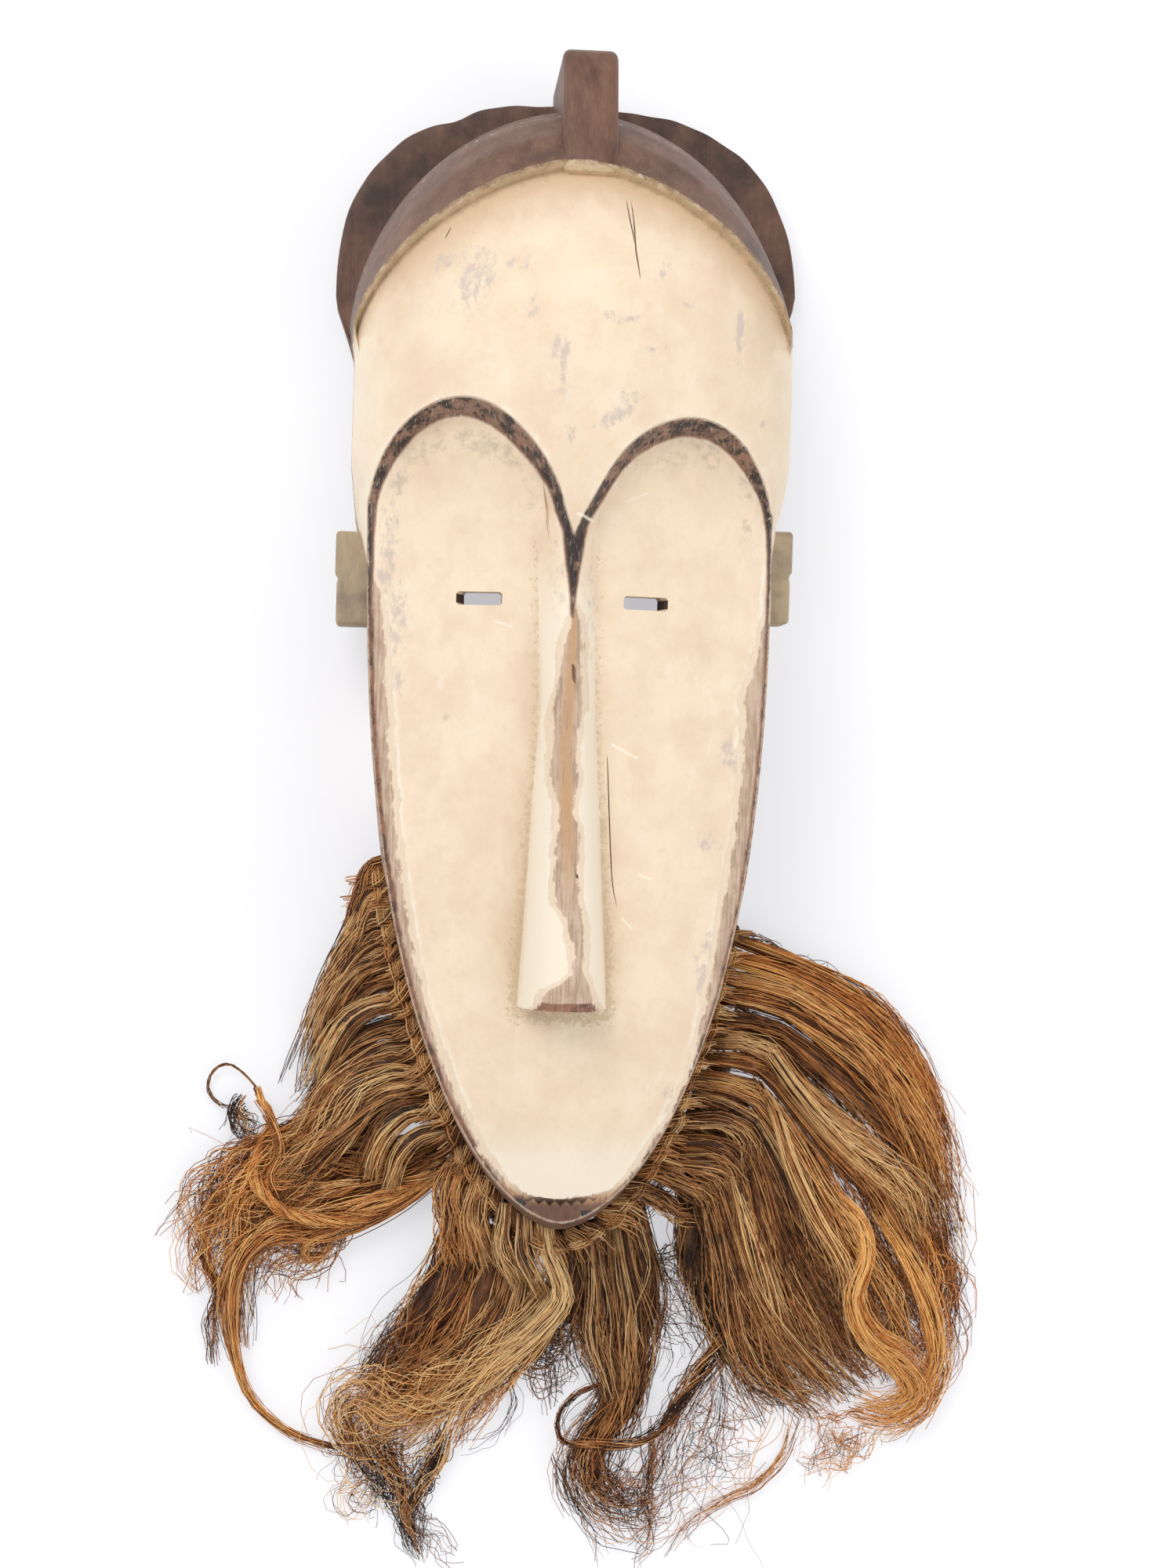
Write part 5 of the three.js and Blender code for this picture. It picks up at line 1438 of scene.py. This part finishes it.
        {"line": [(32, -262), (38, -295), (45, -326), (38, -349), (25, -368), (23, -386), (34, -400),
                  (55, -405)],
         "width": (14, 16, 24), "high": (8, 8, 3), "fibres": 130, "tone": 0.18, "warm": 0.35, "frizz": 2.2,
         "fray": 0.5, "steps": 24},
        {"line": [(48, -282), (64, -292), (74, -303), (86, -320)],
         "width": (10, 14, 18), "high": (4, 3, 2), "fibres": 22, "tone": 0.06, "warm": 0.2, "frizz": 3.2,
         "fray": 0.6, "steps": 18, "core": False, "open": 0.4, "thick": 0.8},
        {"line": [(46, -262), (66, -271), (80, -279), (96, -279)],
         "width": (12, 16, 14), "high": (4, 3, 2), "fibres": 26, "tone": 0.05, "warm": 0.2, "frizz": 3.0,
         "fray": 0.6, "steps": 18, "core": False, "open": 0.4, "thick": 0.9},
        {"line": [(50, -259), (66, -261), (82, -259), (98, -254)],
         "width": (8, 10, 8), "high": (5, 4, 3), "fibres": 16, "tone": 0.16, "warm": 0.2, "frizz": 2.6,
         "fray": 0.6, "steps": 16, "core": False, "open": 0.4, "thick": 0.8},
        {"line": [(20, -372), (34, -386), (52, -394), (70, -398), (84, -394)],
         "width": (14, 22, 20), "high": (3, 3, 2), "fibres": 40, "tone": 0.16, "warm": 0.5, "frizz": 4.5,
         "fray": 0.6, "steps": 22, "core": False, "open": 0.4, "thick": 0.75}
    ],
    "raffia_centre_right": [
        {"line": [(41, -246), (45, -273), (50, -304), (52, -330), (47, -352)],
         "width": (16, 28, 14), "high": (10, 12, 7), "fibres": 190, "tone": 0.36, "warm": 0.15, "frizz": 0.9},
        {"line": [(52, -238), (58, -265), (60, -295), (57, -321), (52, -343)],
         "width": (12, 18, 12), "high": (10, 10, 5), "fibres": 120, "tone": 0.28, "warm": 0.2, "frizz": 1.6,
         "fray": 0.4},
        {"line": [(48, -278), (53, -313), (49, -343), (36, -368), (35, -389), (50, -404), (70, -400)],
         "width": (12, 18, 26), "high": (8, 7, 3), "fibres": 120, "tone": 0.16, "warm": 0.4, "frizz": 2.6,
         "fray": 0.5, "steps": 24},
        {"line": [(110, -284), (98, -311), (82, -336), (62, -361), (33, -366), (14, -364), (12, -351),
                  (23, -338), (45, -332), (58, -334)],
         "width": (12, 10, 5, 3, 1.5), "high": (12, 13, 9), "fibres": 34, "tone": 0.16, "warm": 0.6,
         "frizz": 0.9, "fray": 0.3, "twist": 2.0, "steps": 26, "core": False, "open": 0.2, "thick": 0.9},
        {"line": [(114, -284), (104, -308), (88, -330), (72, -361), (62, -392)],
         "width": (10, 14, 12), "high": (8, 6, 3), "fibres": 46, "tone": 0.2, "warm": 0.6, "frizz": 2.0,
         "fray": 0.5, "steps": 20, "core": False, "open": 0.25, "thick": 0.9},
        {"line": [(62, -350), (66, -376), (62, -398), (64, -420), (56, -436)],
         "width": (10, 8, 6), "high": (3, 3, 2), "fibres": 24, "tone": 0.24, "warm": 0.6, "frizz": 3.0,
         "fray": 0.5, "steps": 22, "core": False, "open": 0.4, "thick": 0.8},
        {"line": [(86, -330), (90, -352), (80, -372), (84, -394), (74, -418)],
         "width": (26, 30, 26), "high": (3, 3, 2), "fibres": 18, "tone": 0.3, "warm": 0.8, "frizz": 3.6,
         "fray": 0.7, "steps": 26, "core": False, "open": 0.6, "thick": 0.6},
        {"line": [(10, -372), (20, -396), (32, -412), (40, -434)],
         "width": (8, 8, 8), "high": (2, 2, 2), "fibres": 12, "tone": 0.12, "warm": 0.4, "frizz": 2.6,
         "fray": 0.5, "steps": 20, "core": False, "open": 0.4, "thick": 0.7}
    ],
    "raffia_right_inner": [
        {"line": [(80, -222), (82, -244), (86, -268), (94, -292), (106, -316)],
         "width": (14, 24, 18), "high": (10, 14, 5), "fibres": 160, "tone": 0.22, "warm": 0.15, "frizz": 1.8,
         "fray": 0.4},
        {"line": [(84, -214), (90, -238), (97, -270), (106, -302), (118, -328), (138, -344)],
         "width": (12, 24, 28), "high": (12, 16, 4), "fibres": 180, "tone": 0.28, "warm": 0.3, "frizz": 1.8,
         "fray": 0.35},
        {"line": [(80, -204), (94, -229), (104, -263), (114, -298), (131, -324), (155, -341)],
         "width": (9, 23, 28), "high": (16, 19, 5), "fibres": 180, "tone": 0.36, "warm": 0.3, "frizz": 1.8},
        {"line": [(94, -158), (86, -184), (74, -206), (60, -222), (44, -236)],
         "width": (14, 18, 14), "high": (8, 9, 9), "fibres": 40, "tone": 0.2, "warm": 0.2},
        {"line": [(56, -224), (66, -230), (76, -236), (88, -236)],
         "width": (9, 13, 12), "high": (20, 20, 14), "fibres": 70, "tone": 0.46, "warm": 0.35, "frizz": 1.2,
         "fray": 0.35},
        {"line": [(64, -214), (76, -219), (88, -225), (97, -236)],
         "width": (9, 13, 14), "high": (20, 26, 16), "fibres": 80, "tone": 0.56, "warm": 0.3, "frizz": 0.9,
         "fray": 0.3},
        {"line": [(120, -318), (118, -345), (104, -372), (92, -398), (80, -422)],
         "width": (34, 34, 26), "high": (4, 3, 2), "fibres": 26, "tone": 0.34, "warm": 0.85, "frizz": 3.6,
         "fray": 0.7, "steps": 24, "core": False, "open": 0.5, "thick": 0.65},
        {"line": [(148, -336), (144, -352), (139, -372), (124, -389), (104, -399), (84, -414), (74, -430)],
         "width": (16, 8, 5, 6), "high": (3, 3, 2), "fibres": 26, "tone": 0.36, "warm": 0.95, "frizz": 1.6,
         "fray": 0.5, "steps": 24, "core": False, "open": 0.4, "thick": 0.7},
        {"line": [(98, -318), (96, -342), (88, -366), (78, -392), (66, -412)],
         "width": (12, 22, 22), "high": (4, 3, 2), "fibres": 22, "tone": 0.16, "warm": 0.6, "frizz": 3.0,
         "fray": 0.7, "steps": 24, "core": False, "open": 0.5, "thick": 0.7}
    ],
    "raffia_right_lower": [
        {"line": [(77, -198), (96, -218), (109, -254), (120, -289), (140, -319), (166, -338)],
         "width": (9, 23, 28), "high": (16, 18, 5), "fibres": 180, "tone": 0.28, "warm": 0.35, "frizz": 1.8},
        {"line": [(81, -190), (102, -204), (116, -241), (129, -280), (149, -312), (175, -336)],
         "width": (9, 22, 28), "high": (17, 21, 6), "fibres": 180, "tone": 0.46, "warm": 0.35, "frizz": 1.8},
        {"line": [(84, -182), (108, -193), (123, -227), (137, -266), (159, -304), (185, -334)],
         "width": (9, 22, 28), "high": (17, 20, 6), "fibres": 180, "tone": 0.34, "warm": 0.4, "frizz": 1.8},
        {"line": [(98, -178), (120, -210), (140, -248), (160, -284), (182, -316)],
         "width": (24, 40, 44, 40), "high": (6, 8, 5), "fibres": 150, "tone": 0.26, "warm": 0.45,
         "frizz": 1.8, "core": False},
        {"line": [(106, -222), (118, -250), (127, -276), (134, -300), (152, -322)],
         "width": (5, 8, 12), "high": (22, 24, 10), "fibres": 40, "tone": 0.74, "warm": 0.3, "frizz": 1.0,
         "core": False, "open": 0.2},
        {"line": [(70, -207), (84, -207), (98, -211), (107, -222)],
         "width": (9, 13, 14), "high": (20, 27, 18), "fibres": 80, "tone": 0.6, "warm": 0.3, "frizz": 0.8},
        {"line": [(76, -196), (90, -196), (104, -203), (111, -217)],
         "width": (9, 13, 14), "high": (20, 28, 18), "fibres": 80, "tone": 0.5, "warm": 0.3, "frizz": 0.8},
        {"line": [(80, -184), (96, -183), (110, -193), (116, -210)],
         "width": (9, 13, 14), "high": (20, 29, 18), "fibres": 80, "tone": 0.62, "warm": 0.3, "frizz": 0.8}
    ],
    "raffia_right_middle": [
        {"line": [(87, -172), (111, -180), (129, -210), (145, -244), (165, -279), (191, -317)],
         "width": (9, 21, 28), "high": (17, 19, 6), "fibres": 170, "tone": 0.36, "warm": 0.4, "frizz": 1.8},
        {"line": [(90, -162), (114, -167), (136, -192), (155, -222), (174, -252), (197, -287), (215, -317)],
         "width": (9, 20, 28), "high": (17, 22, 6), "fibres": 170, "tone": 0.52, "warm": 0.55, "steps": 14,
         "frizz": 1.8},
        {"line": [(93, -150), (118, -153), (140, -175), (161, -197), (184, -222), (207, -256), (221, -293)],
         "width": (9, 20, 26), "high": (17, 20, 6), "fibres": 160, "tone": 0.42, "warm": 0.6, "steps": 14,
         "frizz": 1.8},
        {"line": [(100, -128), (130, -150), (162, -182), (190, -218), (208, -256), (212, -296)],
         "width": (20, 40, 48, 44), "high": (6, 8, 5), "fibres": 170, "tone": 0.3, "warm": 0.6, "frizz": 1.8,
         "core": False},
        {"line": [(180, -246), (190, -272), (198, -300), (192, -330)],
         "width": (20, 34, 34), "high": (6, 7, 4), "fibres": 90, "tone": 0.32, "warm": 0.8, "frizz": 2.2,
         "core": False, "open": 0.3},
        {"line": [(95, -140), (117, -141), (136, -162), (158, -184), (182, -205), (203, -223), (214, -248)],
         "width": (9, 15, 22), "high": (20, 30, 14), "fibres": 150, "tone": 0.76, "warm": 0.3, "frizz": 1.6},
        {"line": [(112, -158), (124, -176), (134, -206), (150, -238), (164, -262), (170, -290), (180, -312)],
         "width": (6, 10, 14), "high": (22, 27, 12), "fibres": 60, "tone": 0.66, "warm": 0.35, "frizz": 1.0,
         "core": False, "open": 0.2},
        {"line": [(160, -222), (176, -238), (180, -258), (174, -280), (182, -301), (202, -318), (212, -334),
                  (198, -346), (176, -342)],
         "width": (8, 15, 22), "high": (24, 20, 5), "fibres": 140, "tone": 0.78, "warm": 0.85, "frizz": 1.2,
         "steps": 24, "core": False, "open": 0.2}
    ],
    "raffia_right_upper": [
        {"line": [(98, -128), (123, -131), (148, -148), (172, -168), (194, -191), (212, -221), (223, -256)],
         "width": (9, 17, 22), "high": (15, 15, 5), "fibres": 120, "tone": 0.3, "warm": 0.55, "frizz": 2.0},
        {"line": [(99, -116), (126, -120), (152, -135), (177, -154), (199, -179), (216, -212), (226, -251)],
         "width": (9, 17, 24), "high": (17, 19, 5), "fibres": 130, "tone": 0.52, "warm": 0.8, "frizz": 2.0},
        {"line": [(101, -105), (128, -110), (156, -126), (181, -143), (202, -169), (216, -199), (223, -229)],
         "width": (9, 17, 24), "high": (18, 22, 6), "fibres": 130, "tone": 0.66, "warm": 0.7, "frizz": 2.0},
        {"line": [(102, -94), (129, -101), (158, -115), (183, -131), (203, -153), (216, -186), (221, -216)],
         "width": (9, 16, 20), "high": (18, 21, 6), "fibres": 120, "tone": 0.64, "warm": 1.0, "frizz": 2.0},
        {"line": [(103, -84), (129, -93), (156, -106), (183, -122), (200, -143), (213, -173), (218, -203)],
         "width": (8, 13, 14), "high": (14, 15, 5), "fibres": 100, "tone": 0.38, "warm": 0.9, "frizz": 2.2},
        {"line": [(184, -230), (205, -260), (219, -291), (222, -319), (209, -341), (188, -353)],
         "width": (9, 17, 24), "high": (16, 15, 4), "fibres": 130, "tone": 0.7, "warm": 0.95, "frizz": 1.5,
         "steps": 20, "core": False, "open": 0.2},
        {"line": [(207, -228), (222, -254), (230, -278), (228, -304), (217, -324)],
         "width": (14, 18, 20), "high": (12, 9, 4), "fibres": 90, "tone": 0.5, "warm": 0.9, "frizz": 2.6,
         "fray": 0.6, "steps": 16, "core": False, "open": 0.3},
        {"line": [(100, -82), (116, -83), (136, -95), (164, -108), (190, -126)],
         "width": (5, 8, 10), "high": (10, 9, 5), "fibres": 26, "tone": 0.1, "warm": 0.4, "frizz": 4.0,
         "fray": 0.6, "steps": 20, "core": False, "open": 0.5, "thick": 0.7},
        {"line": [(190, -350), (176, -360), (160, -368), (146, -372)],
         "width": (20, 22, 16), "high": (5, 4, 2), "fibres": 50, "tone": 0.5, "warm": 0.95, "frizz": 4.0,
         "fray": 0.6, "steps": 20, "core": False, "open": 0.4, "thick": 0.75}
    ]
}


def waves(count, steps, amount, slowest=0.3, fastest=2.0):
    # Smooth random wandering along each fibre.
    t = np.linspace(0, 1, steps)[None, :]
    total = np.zeros((count, steps))
    for k in range(3):
        speed = random.uniform(slowest, fastest, (count, 1))
        total += np.sin(turn * (speed * t + random.random((count, 1)))) / (1 + k * 0.6)
    return total * amount * 0.6


def lockSection(lock, share, u, v):
    # Point at u, v in the oval section of a lock, at a share of its length.
    fine = np.linspace(0, 1, 80)
    line = np.array(lock["line"], float)
    if lock.get("core", True):
        # Roots reach in under the knots
        inwards = (line[0] - line[1]) / np.linalg.norm(line[0] - line[1])
        line = np.vstack([line[0] + inwards * beard["rootReach"], line])
    middle = smoothLine(line, fine)
    length = np.concatenate([[0], np.cumsum(np.hypot(*np.diff(middle, axis=0).T))])
    fine = length / length[-1]
    heading = np.gradient(middle, axis=0)
    heading /= np.linalg.norm(heading, axis=1, keepdims=True)
    half = np.interp(share, np.linspace(0, 1, len(lock["width"])), lock["width"]) / 2
    high = np.interp(share, np.linspace(0, 1, len(lock["high"])), lock["high"])
    sideways = u * half
    x = np.interp(share, fine, middle[:, 0]) - np.interp(share, fine, heading[:, 1]) * sideways
    y = np.interp(share, fine, middle[:, 1]) + np.interp(share, fine, heading[:, 0]) * sideways
    z = high + v * np.minimum(half * 0.62, high)
    return np.stack([x, y, z], axis=-1)


def lockCore(lock):
    # Body that fills a lock from its root on, painted dark as the shade inside the lock
    share = np.linspace(0.02, beard["coreEnd"], 12)[:, None]
    angle = turn * np.arange(12)[None, :] / 12
    size = beard["coreSize"] * (1 - 0.55 * ramp(0.4, beard["coreEnd"], share))
    rings = lockSection(lock, share + 0 * angle, size * np.cos(angle), size * np.sin(angle) - 0.2)
    rings[..., 2] = np.maximum(rings[..., 2], beard["lowest"])
    return loftMesh(rings, beard["coreShadeTone"], lock["warm"])


def growFibres(lock, count, steps, wild):
    # Fibres in clumps through the section of a lock. Wild ones leave their clump and curl.
    frizz = lock.get("frizz", 1.0)
    fray = lock.get("fray", 0.25)
    t = np.linspace(0, 1, steps)[None, :]
    clumps = max(3, lock["fibres"] // beard["clumpSize"])
    clumpOf = random.integers(0, clumps, count)
    angle = 2.4 * np.arange(clumps) + random.uniform(0, turn)
    reach = np.sqrt((np.arange(clumps) + 0.5) / clumps)[:, None] * 0.95
    spin = angle[:, None] + turn * lock.get("twist", 0.0) * t
    u = reach * np.cos(spin) + waves(clumps, steps, 0.3 * frizz) * (0.25 + t)
    v = reach * np.sin(spin) + waves(clumps, steps, 0.2 * frizz)
    loose = 0.72 / math.sqrt(clumps) * lerp(0.6, 1.0 + 1.8 * fray, t ** 2)
    stray = (0.1 + 0.5 * wild) * min(frizz, 1.6)
    u = u[clumpOf] + random.normal(0, 1, (count, 1)) * loose + waves(count, steps, stray) * (0.4 + t)
    v = v[clumpOf] + random.normal(0, 1, (count, 1)) * loose + waves(count, steps, 0.08 * frizz)
    length = 1 - fray * random.random((count, 1)) ** 1.6 + (0.04 if wild else 0)
    start = lock.get("open", 0.0) * random.random((count, 1))
    share = np.clip(start + t * (length - start), 0, 1)
    lines = lockSection(lock, share, u, v)
    curl = (beard["curl"] + beard["wildCurl"] * wild) * frizz * (0.3 + 1.2 * t)
    fastest = steps / 4
    for axis in range(3):
        lines[..., axis] += waves(count, steps, curl, fastest / 3, fastest) * (0.6 if axis == 2 else 1)
    lines[..., 0] = np.clip(lines[..., 0], beard["left"], beard["right"])
    lines[..., 1] = np.maximum(lines[..., 1], beard["foot"])
    lines[..., 2] = np.maximum(lines[..., 2], 0.75 + 0.5 * random.random((count, 1)))
    radii = beard["fibreRadius"] * random.uniform(0.7, 1.3, (count, 1)) * (1 - 0.45 * t)
    radii = radii * lock.get("thick", 1.0)
    spread = beard["toneSpread"]
    tones = lock["tone"] + random.normal(0, spread, clumps)[clumpOf][:, None]
    tones = tones + random.normal(0, spread, (count, 1))
    # Fibres high in a lock lighter and low ones darker: painted light and shade
    tones = tones + beard["paintedTopLight"] * v.clip(-1.2, 1.2) + waves(count, steps, 0.06)
    warms = lock["warm"] + random.normal(0, beard["warmSpread"], (count, 1)) + 0.16 * t
    if wild:
        tones = tones * 0.8
        radii = radii * 0.75
    return tubeMesh(lines, radii, np.clip(tones, 0.02, 1), np.clip(warms, 0, 1))


def growLock(lock):
    steps = round(lock.get("steps", beard["steps"]) * beard["detail"])
    count = int(lock["fibres"] * beard["density"])
    parts = [growFibres(lock, count, steps, 0.0)]
    strays = int(count * 0.08 * min(lock.get("frizz", 1.0), 2.0)) + 2
    parts.append(growFibres(lock, strays, steps + 5, 0.5))
    if lock.get("core", True):
        parts.append(lockCore(lock))
    return parts


def bundle(path, radius, count, tone, warm, fray=0.0):
    # Fibres side by side along a path, as a strand of a knot
    steps = 9
    t = np.linspace(0, 1, steps)[None, :] * (1 - fray * random.random((count, 1)))
    middle = smoothLine(path, t)
    ahead = np.gradient(middle, axis=1)
    ahead /= np.linalg.norm(ahead, axis=2, keepdims=True)
    side = np.cross(ahead, (0.1, 0.05, 1.0))
    side /= np.linalg.norm(side, axis=2, keepdims=True)
    over = np.cross(side, ahead)
    angle = (2.4 * np.arange(count))[:, None] + turn * beard["strandTwist"] * t
    reach = np.sqrt((np.arange(count) + 0.5) / count)[:, None] * radius * (0.7 + 0.3 * np.sin(math.pi * t))
    reach = reach * random.uniform(0.85, 1.15, (count, 1)) * (1 + 0.8 * fray * t ** 3)
    lines = middle + side * (reach * np.cos(angle))[..., None] + over * (reach * np.sin(angle))[..., None]
    for axis in range(3):
        lines[..., axis] += waves(count, steps, 0.35, 0.5, 2.5)
    lines[..., 2] = np.maximum(lines[..., 2], beard["lowest"])
    radii = beard["strandRadius"] * random.uniform(0.75, 1.25, (count, 1)) * (1 - 0.4 * fray * t)
    # Fibres on the upper side of a strand lighter, lower ones darker: painted light and shade
    tones = tone + random.normal(0, 0.15, (count, 1)) + 0.16 * np.sin(angle)
    warms = warm + random.normal(0, 0.1, (count, 1))
    return tubeMesh(lines, radii, np.clip(tones, 0.02, 1), np.clip(warms, 0, 1))


def cordPlace(share):
    angle = cordAngle(share)
    chin = ramp(-0.6, -0.95, np.sin(angle))
    distance = lerp(beard["cordDistance"], beard["chinDistance"], chin)
    return outsideRim(angle, distance, lerp(beard["cordHeight"], beard["chinHeight"], chin))


def cordKnots():
    parts = []
    centre = cordPlace(np.linspace(0, 1, 400))
    length = np.concatenate([[0], np.cumsum(np.linalg.norm(np.diff(centre, axis=0), axis=1))])
    knots = int(round(length[-1] / beard["knotPitch"]))
    for i in range(knots):
        at = length[-1] * (i + 0.5 + random.uniform(-0.12, 0.12)) / knots
        middle = np.array([np.interp(at, length, centre[:, k]) for k in range(3)])
        ahead = np.array([np.interp(at + 3, length, centre[:, k]) for k in range(3)])
        along = (ahead - middle) / np.linalg.norm(ahead - middle)
        outward = np.cross(along, (0, 0, 1.0))
        outward *= np.sign(outward[:2] @ middle[:2])
        size = random.uniform(0.88, 1.15)

        def place(a, o, up):
            return middle + size * (along * a + outward * o + np.array([0, 0, up]))

        tone = 0.5 + random.normal(0, 0.1)
        warm = 0.3 + random.normal(0, 0.08)
        lean = random.uniform(-1.5, 1.5)
        leg = [place(-2.5, -6, -3), place(-2, -3, 4), place(1.2, 2.5, 5.5), place(2.2 + lean, 10, 1),
               place(1.5 + lean, 21, -8)]
        parts.append(bundle(leg, beard["legRadius"] * size, beard["legFibres"], tone, warm, beard["legFray"]))
        band = [place(-6.2, 0.5, -4), place(-4.2, 2, 4), place(0, 3 + lean * 0.5, 8.4), place(4.2, 3.4, 4),
                place(6.2, 2, -4)]
        parts.append(bundle(band, beard["bandRadius"] * size, beard["bandFibres"], tone + 0.06, warm))
    # The cord under the knots
    spine = cordPlace(np.linspace(0, 1, 60))
    along = np.gradient(spine, axis=0)
    along /= np.linalg.norm(along, axis=1, keepdims=True)
    outward = np.cross(along, (0, 0, 1.0))
    angle = turn * np.arange(8) / 8
    rings = spine[:, None, :] + outward[:, None, :] * (beard["cordHalfWidth"] * np.cos(angle))[None, :, None]
    rings[..., 2] += (beard["cordHalfHeight"] * np.sin(angle))[None, :]
    parts.append(loftMesh(rings, beard["cordTone"], 0.2))
    return parts


def finishRaffia(obj, *nodes):
    pick(obj)
    bpy.ops.object.mode_set(mode="EDIT")
    bpy.ops.mesh.select_all(action="SELECT")
    bpy.ops.mesh.normals_make_consistent(inside=False)
    bpy.ops.object.mode_set(mode="OBJECT")
    obj.data.materials.append(raffiaMaterial)
    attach(obj, "root")
    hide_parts(*nodes)


raffiaColours = {
    "golden": [(0.0, (0.018, 0.010, 0.006)), (0.3, (0.165, 0.075, 0.033)), (0.6, (0.58, 0.31, 0.13)),
               (1.0, (0.98, 0.76, 0.42))],
    "orange": [(0.0, (0.024, 0.009, 0.005)), (0.3, (0.24, 0.072, 0.020)), (0.6, (0.76, 0.28, 0.065)),
               (1.0, (1.0, 0.60, 0.20))]
}


def colourRamp(tree, value, stops):
    node = addNode(tree, "ValToRGB", {"Fac": value})
    elements = node.color_ramp.elements
    elements[0].color = (*stops[0][1], 1)
    elements[1].color = (*stops[-1][1], 1)
    for position, colour in stops[1:-1]:
        elements.new(position).color = (*colour, 1)
    return node.outputs["Color"]


def raffiaLook():
    material, tree, shader = newMaterial("raffiaFibre")
    place = facePlace(tree)
    uneven = calc(tree, "MULTIPLY_ADD", noise(tree, place, 11, 3, 0.6), 0.5, -0.25)
    flecked = calc(tree, "MULTIPLY_ADD", noise(tree, place, 1.6, 2, 0.6), 0.3, -0.15)
    tone = calc(tree, "ADD", field(tree, "tone"), calc(tree, "ADD", uneven, flecked))
    warmer = calc(tree, "MULTIPLY_ADD", noise(tree, place, 17, 2, 0.5), 0.5, -0.25)
    warm = calc(tree, "ADD", field(tree, "warm"), warmer, clamp=True)
    colour = blend(tree, warm, colourRamp(tree, tone, raffiaColours["golden"]),
                   colourRamp(tree, tone, raffiaColours["orange"]))
    tree.links.new(colour, shader.inputs["Base Color"])
    shader.inputs["Roughness"].default_value = 0.6
    shader.inputs["Specular IOR Level"].default_value = 0.3
    return material


raffiaMaterial = raffiaLook()
beardFaces = 0
for node, nodeLocks in locks.items():
    lockParts = []
    for lock in nodeLocks:
        lockParts += growLock(lock)
    piece = meshPiece(node + "_fibres", lockParts)
    beardFaces += len(piece.data.loops) - 2 * len(piece.data.polygons)
    finishRaffia(piece, node)
finishRaffia(meshPiece("beard_knots", cordKnots()), "beard_cord")
print("beard grown:", beardFaces, "triangles in its locks")


# Floor and light

studio = {
    "floor": {"Base Color": (0.5, 0.5, 0.5), "Roughness": 0.9, "Emission Color": (0.94, 0.95, 1.0),
              "Emission Strength": 0.52},
    "world": {"Color": (1, 1, 1), "Strength": 0.75},
    # Name, place, aim, size, power
    "lights": [("keyLight", (-0.9, 1.3, 1.9), (0, 0.05, 0), 1.2, 22),
               ("fillLight", (1.5, -0.4, 1.8), (0, 0, 0), 1.6, 10)]
}

deselectAll()
bpy.ops.mesh.primitive_plane_add(size=12, location=(0, 0, -0.0005))
floor = bpy.context.object
floor.name = "floor"
applyPlace(floor)
paleFloor, floorTree, floorShader = newMaterial("paleFloor")
fillInputs(floorTree, floorShader, studio["floor"])
floor.data.materials.append(paleFloor)

world = bpy.data.worlds.new("studio")
world.use_nodes = True
fillInputs(world.node_tree, world.node_tree.nodes["Background"], studio["world"])
bpy.context.scene.world = world
bpy.context.scene.view_settings.view_transform = "Standard"


def areaLight(name, place, aim, size, power):
    deselectAll()
    bpy.ops.object.light_add(type="AREA", location=place)
    light = bpy.context.object
    light.name = name
    light.data.size = size
    light.data.energy = power
    direction = Vector(aim) - Vector(place)
    light.rotation_euler = direction.to_track_quat("-Z", "Y").to_euler()


for light in studio["lights"]:
    areaLight(*light)
